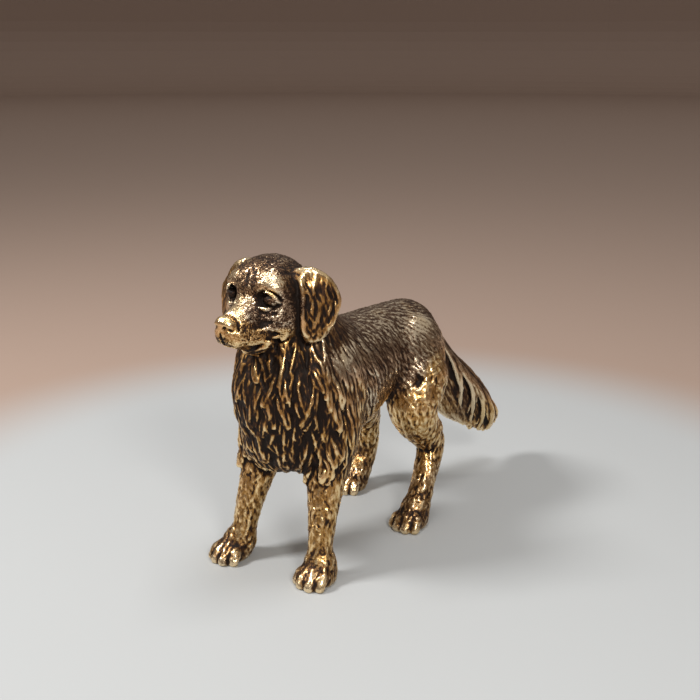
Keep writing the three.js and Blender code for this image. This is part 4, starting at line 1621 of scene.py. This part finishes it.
@dataclass
class NodeBoard:
    """The shader nodes of one material."""

    tree: bpy.types.NodeTree

    def node(self, kind: str, **settings: object) -> bpy.types.Node:
        """Adds a node.

        Args:
            kind: The node's type.
            **settings: Its properties.

        Returns:
            The node.
        """
        node = self.tree.nodes.new(kind)
        for name, value in settings.items():
            setattr(node, name, value)
        return node

    def link(self, output: bpy.types.NodeSocket, target: bpy.types.NodeSocket) -> None:
        """Joins an output to an input."""
        self.tree.links.new(output, target)

    def value(self, name: str) -> bpy.types.NodeSocket:
        """Returns one of the mesh's own values."""
        return self.node("ShaderNodeAttribute", attribute_name=name).outputs["Fac"]

    def math(self, operation: str, *terms: bpy.types.NodeSocket | float) -> bpy.types.NodeSocket:
        """Works out a sum, a product or the like.

        Args:
            operation: What is done with the terms.
            *terms: Sockets or plain numbers.

        Returns:
            The result's socket.
        """
        node = self.node("ShaderNodeMath", operation=operation)
        for socket, term in zip(node.inputs, terms):
            self.feed(term, socket)
        return node.outputs[0]

    def feed(self, term: bpy.types.NodeSocket | float | Colour, target: bpy.types.NodeSocket) -> None:
        """Sets a socket to a value, or joins it to another.

        Args:
            term: A socket, a number or a colour.
            target: The socket that takes it.
        """
        if isinstance(term, bpy.types.NodeSocket):
            self.link(term, target)
        elif isinstance(term, tuple):
            target.default_value = (*term, 1.0)
        else:
            target.default_value = term

    def mix(
        self,
        share: bpy.types.NodeSocket | float,
        first: bpy.types.NodeSocket | Colour,
        second: bpy.types.NodeSocket | Colour,
    ) -> bpy.types.NodeSocket:
        """Mixes two colours.

        Args:
            share: The share of the second.
            first: The first colour, or its socket.
            second: The second.

        Returns:
            The mixed colour's socket.
        """
        node = self.node("ShaderNodeMix", data_type="RGBA")
        self.feed(share, node.inputs[0])
        self.feed(first, node.inputs[6])
        self.feed(second, node.inputs[7])
        return node.outputs[2]

    def ramp(
        self, share: bpy.types.NodeSocket, stops: Sequence[tuple[float, Colour]]
    ) -> bpy.types.NodeSocket:
        """Reads a colour from a ramp.

        Args:
            share: Where on the ramp it is read.
            stops: The ramp's colours and their positions.

        Returns:
            The colour's socket.
        """
        node = self.node("ShaderNodeValToRGB")
        elements = node.color_ramp.elements
        while len(elements) < len(stops):
            elements.new(0.5)
        for element, (position, colour) in zip(elements, stops):
            element.position = position
            element.color = (*colour, 1.0)
        self.link(share, node.inputs[0])
        return node.outputs[0]

    def level(
        self, value: bpy.types.NodeSocket, low: float, high: float, to: tuple[float, float]
    ) -> bpy.types.NodeSocket:
        """Stretches a value from one range to another, with soft ends.

        Args:
            value: The value.
            low: The start of its range.
            high: The end of its range.
            to: The start and the end of the new range.

        Returns:
            The new value's socket.
        """
        node = self.node("ShaderNodeMapRange", interpolation_type="SMOOTHSTEP")
        for socket, term in zip(node.inputs, (value, low, high, *to)):
            self.feed(term, socket)
        return node.outputs[0]

    def noise(
        self, place: bpy.types.NodeSocket, scale: float, detail: float, roughness: float = 0.5
    ) -> bpy.types.NodeSocket:
        """Makes noise.

        Args:
            place: Where it is read.
            scale: How many of its features fit in one unit.
            detail: How many finer layers it has.
            roughness: How much the finer layers count.

        Returns:
            The socket of a value around one half.
        """
        noise = self.node("ShaderNodeTexNoise")
        noise.inputs["Scale"].default_value = scale
        noise.inputs["Detail"].default_value = detail
        noise.inputs["Roughness"].default_value = roughness
        self.link(place, noise.inputs["Vector"])
        return noise.outputs["Fac"]

    def streaks(self, streak: Streak) -> bpy.types.NodeSocket:
        """Makes noise drawn out in one direction.

        Args:
            streak: Its size and its lean.

        Returns:
            The socket of a value around one half.
        """
        turned = self.node("ShaderNodeVectorRotate", rotation_type="X_AXIS")
        self.link(self.node("ShaderNodeTexCoord").outputs["Object"], turned.inputs["Vector"])
        turned.inputs["Angle"].default_value = math.radians(-streak.tilt)
        sized = self.node("ShaderNodeMapping", vector_type="POINT")
        sized.inputs["Scale"].default_value = (1 / streak.across, 1 / streak.across, 1 / streak.along)
        self.link(turned.outputs[0], sized.inputs["Vector"])
        return self.noise(sized.outputs[0], 1.0, 2.0, 0.6)

    def speckle(self, size: float, detail: float) -> bpy.types.NodeSocket:
        """Returns even noise with features of a size in metres."""
        return self.noise(self.node("ShaderNodeTexCoord").outputs["Object"], 1 / size, detail)


@dataclass(frozen=True)
class Streak:
    """Fine hair of the finish, with its sizes in metres."""

    tilt: float  # how far it leans back from upright, in degrees
    across: float
    along: float


@dataclass(frozen=True)
class AntiqueBrass:
    """Brass that was darkened in its hollows and worn bright on its ridges, with painted highlights and
    painted shade laid into its colour.
    """

    soot: Colour = (0.012, 0.007, 0.005)
    umber: Colour = (0.07, 0.034, 0.018)
    bronze: Colour = (0.47, 0.26, 0.08)
    gold: Colour = (0.90, 0.67, 0.36)
    smoke: Colour = (0.20, 0.135, 0.09)
    pewter: Colour = (0.78, 0.66, 0.49)
    stops: tuple[float, ...] = (0.34, 0.48, 0.62, 0.84)  # the heights of the four colours
    hanging: Streak = Streak(0, 0.00028, 0.0016)
    leaning: Streak = Streak(38, 0.00024, 0.0013)
    falling: Streak = Streak(32, 0.0003, 0.002)
    spots: Streak = Streak(0, 0.00038, 0.0008)
    stipple_size: float = 0.00022
    stipple_levels: Levels = (0.3, 0.7, (0.22, 0.78))
    golden_levels: Levels = (0.2, 0.8, (0.0, 1.0))
    metal_levels: Levels = (0.34, 0.56, (0.35, 1.0))
    roughness_levels: Levels = (0.4, 0.8, (0.55, 0.26))
    spot_tint: float = 0.34
    wear_and_light_tint: float = 0.32
    patch_size: float = 0.002
    patch_tint: float = 0.3
    blotch_size: float = 0.004
    blotch_tint: float = 0.6
    bump_strength: float = 0.55
    bump_depth: float = 0.00009
    specular: float = 0.2

    def dress(self, piece: bpy.types.Object) -> None:
        """Gives the piece its finish.

        Args:
            piece: The casting, with its values of relief.
        """
        material = bpy.data.materials.new("antique_brass")
        material.use_nodes = True
        board = NodeBoard(material.node_tree)
        shader = material.node_tree.nodes["Principled BSDF"]
        flank, plume = board.value("flank"), board.value("plume")
        hair = board.mix(flank, board.streaks(self.hanging), board.streaks(self.leaning))
        hair = board.mix(plume, hair, board.streaks(self.falling))
        stipple = board.level(board.speckle(self.stipple_size, 2.0), *self.stipple_levels)
        spots = board.mix(board.value("face"), board.streaks(self.spots), stipple)
        fine = board.mix(board.value("rough"), hair, spots)
        self._colour(board, shader, self._height(board, fine, spots))
        bump = board.node("ShaderNodeBump")
        bump.inputs["Strength"].default_value = self.bump_strength
        bump.inputs["Distance"].default_value = self.bump_depth
        board.link(fine, bump.inputs["Height"])
        board.link(bump.outputs[0], shader.inputs["Normal"])
        shader.inputs["Specular IOR Level"].default_value = self.specular
        piece.data.materials.clear()
        piece.data.materials.append(material)

    @staticmethod
    def _around_nought(
        board: NodeBoard, value: bpy.types.NodeSocket, tint: float
    ) -> bpy.types.NodeSocket:
        """Returns a value of 0 to 1, moved to lie around nought and as wide as the tint."""
        return board.math("MULTIPLY_ADD", value, tint, -tint / 2)

    def _height(
        self,
        board: NodeBoard,
        fine: bpy.types.NodeSocket,
        spots: bpy.types.NodeSocket,
    ) -> bpy.types.NodeSocket:
        """Finds how far each point stands out, with the finest hair, the casting's pits, and the wear with
        its painted highlights and painted shade.

        Args:
            board: The material's nodes.
            fine: The finest hair.
            spots: The pits.

        Returns:
            The height's socket.
        """
        depth = board.math("MULTIPLY_ADD", board.value("flank"), 0.5, 0.5)
        hair = board.math("MULTIPLY", board.math("SUBTRACT", fine, 0.5), depth)
        total = board.math("ADD", board.value("ridge"), hair)
        total = board.math("ADD", total, self._around_nought(board, spots, self.spot_tint))
        # Wear, with painted highlights and painted shade, moves the height up or down.
        wear_and_light = self._around_nought(board, board.value("wear_and_painted_light"), self.wear_and_light_tint)
        patches = self._around_nought(board, board.speckle(self.patch_size, 1.0), self.patch_tint)
        return board.math("ADD", total, board.math("ADD", wear_and_light, patches))

    def _colour(
        self, board: NodeBoard, shader: bpy.types.Node, height: bpy.types.NodeSocket
    ) -> None:
        """Sets colour, metal and roughness from the height.

        Args:
            board: The material's nodes.
            shader: The node that takes them.
            height: How far each point stands out.
        """
        blotch = self._around_nought(board, board.speckle(self.blotch_size, 2.0), self.blotch_tint)
        golden = board.level(board.math("ADD", board.value("gold"), blotch), *self.golden_levels)
        warm = (self.soot, self.umber, self.bronze, self.gold)
        dull = (self.soot, self.umber, self.smoke, self.pewter)
        dull, warm = (board.ramp(height, list(zip(self.stops, part))) for part in (dull, warm))
        board.link(board.mix(golden, dull, warm), shader.inputs["Base Color"])
        board.link(board.level(height, *self.metal_levels), shader.inputs["Metallic"])
        board.link(board.level(height, *self.roughness_levels), shader.inputs["Roughness"])


@dataclass(frozen=True)
class SoftLamp:
    """A square studio lamp that looks at the dog."""

    name: str
    place: tuple[float, float, float]
    width: float
    power: float
    colour: Colour = (1.0, 1.0, 1.0)

    def hang(self, aim: Vector) -> None:
        """Hangs the lamp.

        Args:
            aim: The place that it is turned towards.
        """
        light = bpy.data.lights.new(self.name, "AREA")
        light.size = self.width
        light.energy = self.power
        light.color = self.colour
        lamp = bpy.data.objects.new(self.name, light)
        lamp.location = self.place
        lamp.rotation_euler = (aim - Vector(self.place)).to_track_quat("-Z", "Y").to_euler()
        bpy.context.scene.collection.objects.link(lamp)


@dataclass(frozen=True)
class Studio:
    """A pale round floor with a raised rim, lamps and the camera."""

    floor_colour: Colour = (0.39, 0.41, 0.425)
    wall_colour: Colour = (0.34, 0.25, 0.205)
    pale_reach: tuple[float, float] = (0.068, 0.105)  # where the paper starts and ends to darken
    floor_roughness: float = 0.6
    floor_reach: float = 1.4  # where the floor starts to bend up
    floor_bend: float = 0.1
    floor_top: float = 0.45
    floor_sides: int = 96
    air_colour: Colour = (1.0, 0.93, 0.86)
    air_strength: float = 0.42
    azimuth: float = 37.0
    pitch: float = 16.5
    lens: float = 54.0
    sensor: float = 36.0
    eye: Point = (195.4, -248.9, 158.0)  # in hundredths of the figure's height
    lamps: tuple[SoftLamp, ...] = (
        SoftLamp("key_lamp", (-0.14, -0.16, 0.26), 0.07, 0.95, (1.0, 0.97, 0.93)),
        SoftLamp("side_lamp", (0.21, -0.15, 0.19), 0.06, 0.45, (1.0, 0.96, 0.9)),
        SoftLamp("top_lamp", (0.02, 0.02, 0.32), 0.09, 0.35, (1.0, 0.98, 0.96)),
    )

    def build(self) -> None:
        """Sets up the floor, the light and the camera."""
        self._floor()
        self._world()
        aim = Vector((0, 0, FIGURE_HEIGHT / 2))
        for lamp in self.lamps:
            lamp.hang(aim)
        self._camera()
        bpy.context.scene.view_settings.view_transform = "Standard"

    def _floor(self) -> None:
        """Lays a round floor, far wider than the view, with its rim curved up into a wall."""
        reach, bend, count = self.floor_reach, self.floor_bend, self.floor_sides
        turns = np.linspace(0, math.pi / 2, 12)
        profile = [(reach + bend * math.sin(t), bend * (1 - math.cos(t))) for t in turns]
        profile.append((reach + bend, self.floor_top))
        around = np.linspace(0, 2 * math.pi, count, endpoint=False)
        corners = [(r * math.cos(t), r * math.sin(t), height) for r, height in profile for t in around]
        faces: list[tuple[int, ...]] = [tuple(range(count))]
        for start in range(0, count * (len(profile) - 1), count):
            for i in range(count):
                j = (i + 1) % count
                faces.append((start + i, start + j, start + count + j, start + count + i))
        mesh = bpy.data.meshes.new("studio_floor")
        mesh.from_pydata(corners, [], faces)
        mesh.materials.append(self._paper())
        sweep = bpy.data.objects.new("studio_floor", mesh)
        bpy.context.scene.collection.objects.link(sweep)

    def _paper(self) -> bpy.types.Material:
        """Makes the floor's paper, which darkens away from the dog.

        Returns:
            The material.
        """
        material = bpy.data.materials.new("studio_paper")
        material.use_nodes = True
        board = NodeBoard(material.node_tree)
        shader = material.node_tree.nodes["Principled BSDF"]
        away = board.node("ShaderNodeVectorMath", operation="LENGTH")
        board.link(board.node("ShaderNodeTexCoord").outputs["Object"], away.inputs[0])
        rise = board.level(away.outputs["Value"], *self.pale_reach, (0.0, 1.0))
        board.link(board.mix(rise, self.floor_colour, self.wall_colour), shader.inputs["Base Color"])
        shader.inputs["Roughness"].default_value = self.floor_roughness
        return material

    def _world(self) -> None:
        """Fills the room with an even light."""
        world = bpy.data.worlds.new("studio_air")
        world.use_nodes = True
        air = world.node_tree.nodes["Background"]
        air.inputs["Color"].default_value = (*self.air_colour, 1.0)
        air.inputs["Strength"].default_value = self.air_strength
        bpy.context.scene.world = world

    def _camera(self) -> None:
        """Places the camera."""
        data = bpy.data.cameras.new("camera")
        data.lens = self.lens
        data.sensor_width = self.sensor
        data.clip_start = 0.01
        camera = bpy.data.objects.new("camera", data)
        camera.location = (np.array(self.eye) - FIGURE_MIDDLE) * UNIT
        camera.rotation_euler = (math.radians(90 - self.pitch), 0, math.radians(self.azimuth))
        bpy.context.scene.collection.objects.link(camera)
        bpy.context.scene.camera = camera


def main() -> None:
    """Builds the dog and its studio."""
    logging.basicConfig(level=logging.INFO, format="%(name)s: %(message)s")
    dog = Dog().build()
    AntiqueBrass().dress(dog)
    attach(dog, "root")
    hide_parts(NODE)
    LOG.info("piece %s stands for %s", dog.name, NODE)
    Studio().build()


if __name__ == "__main__":
    main()
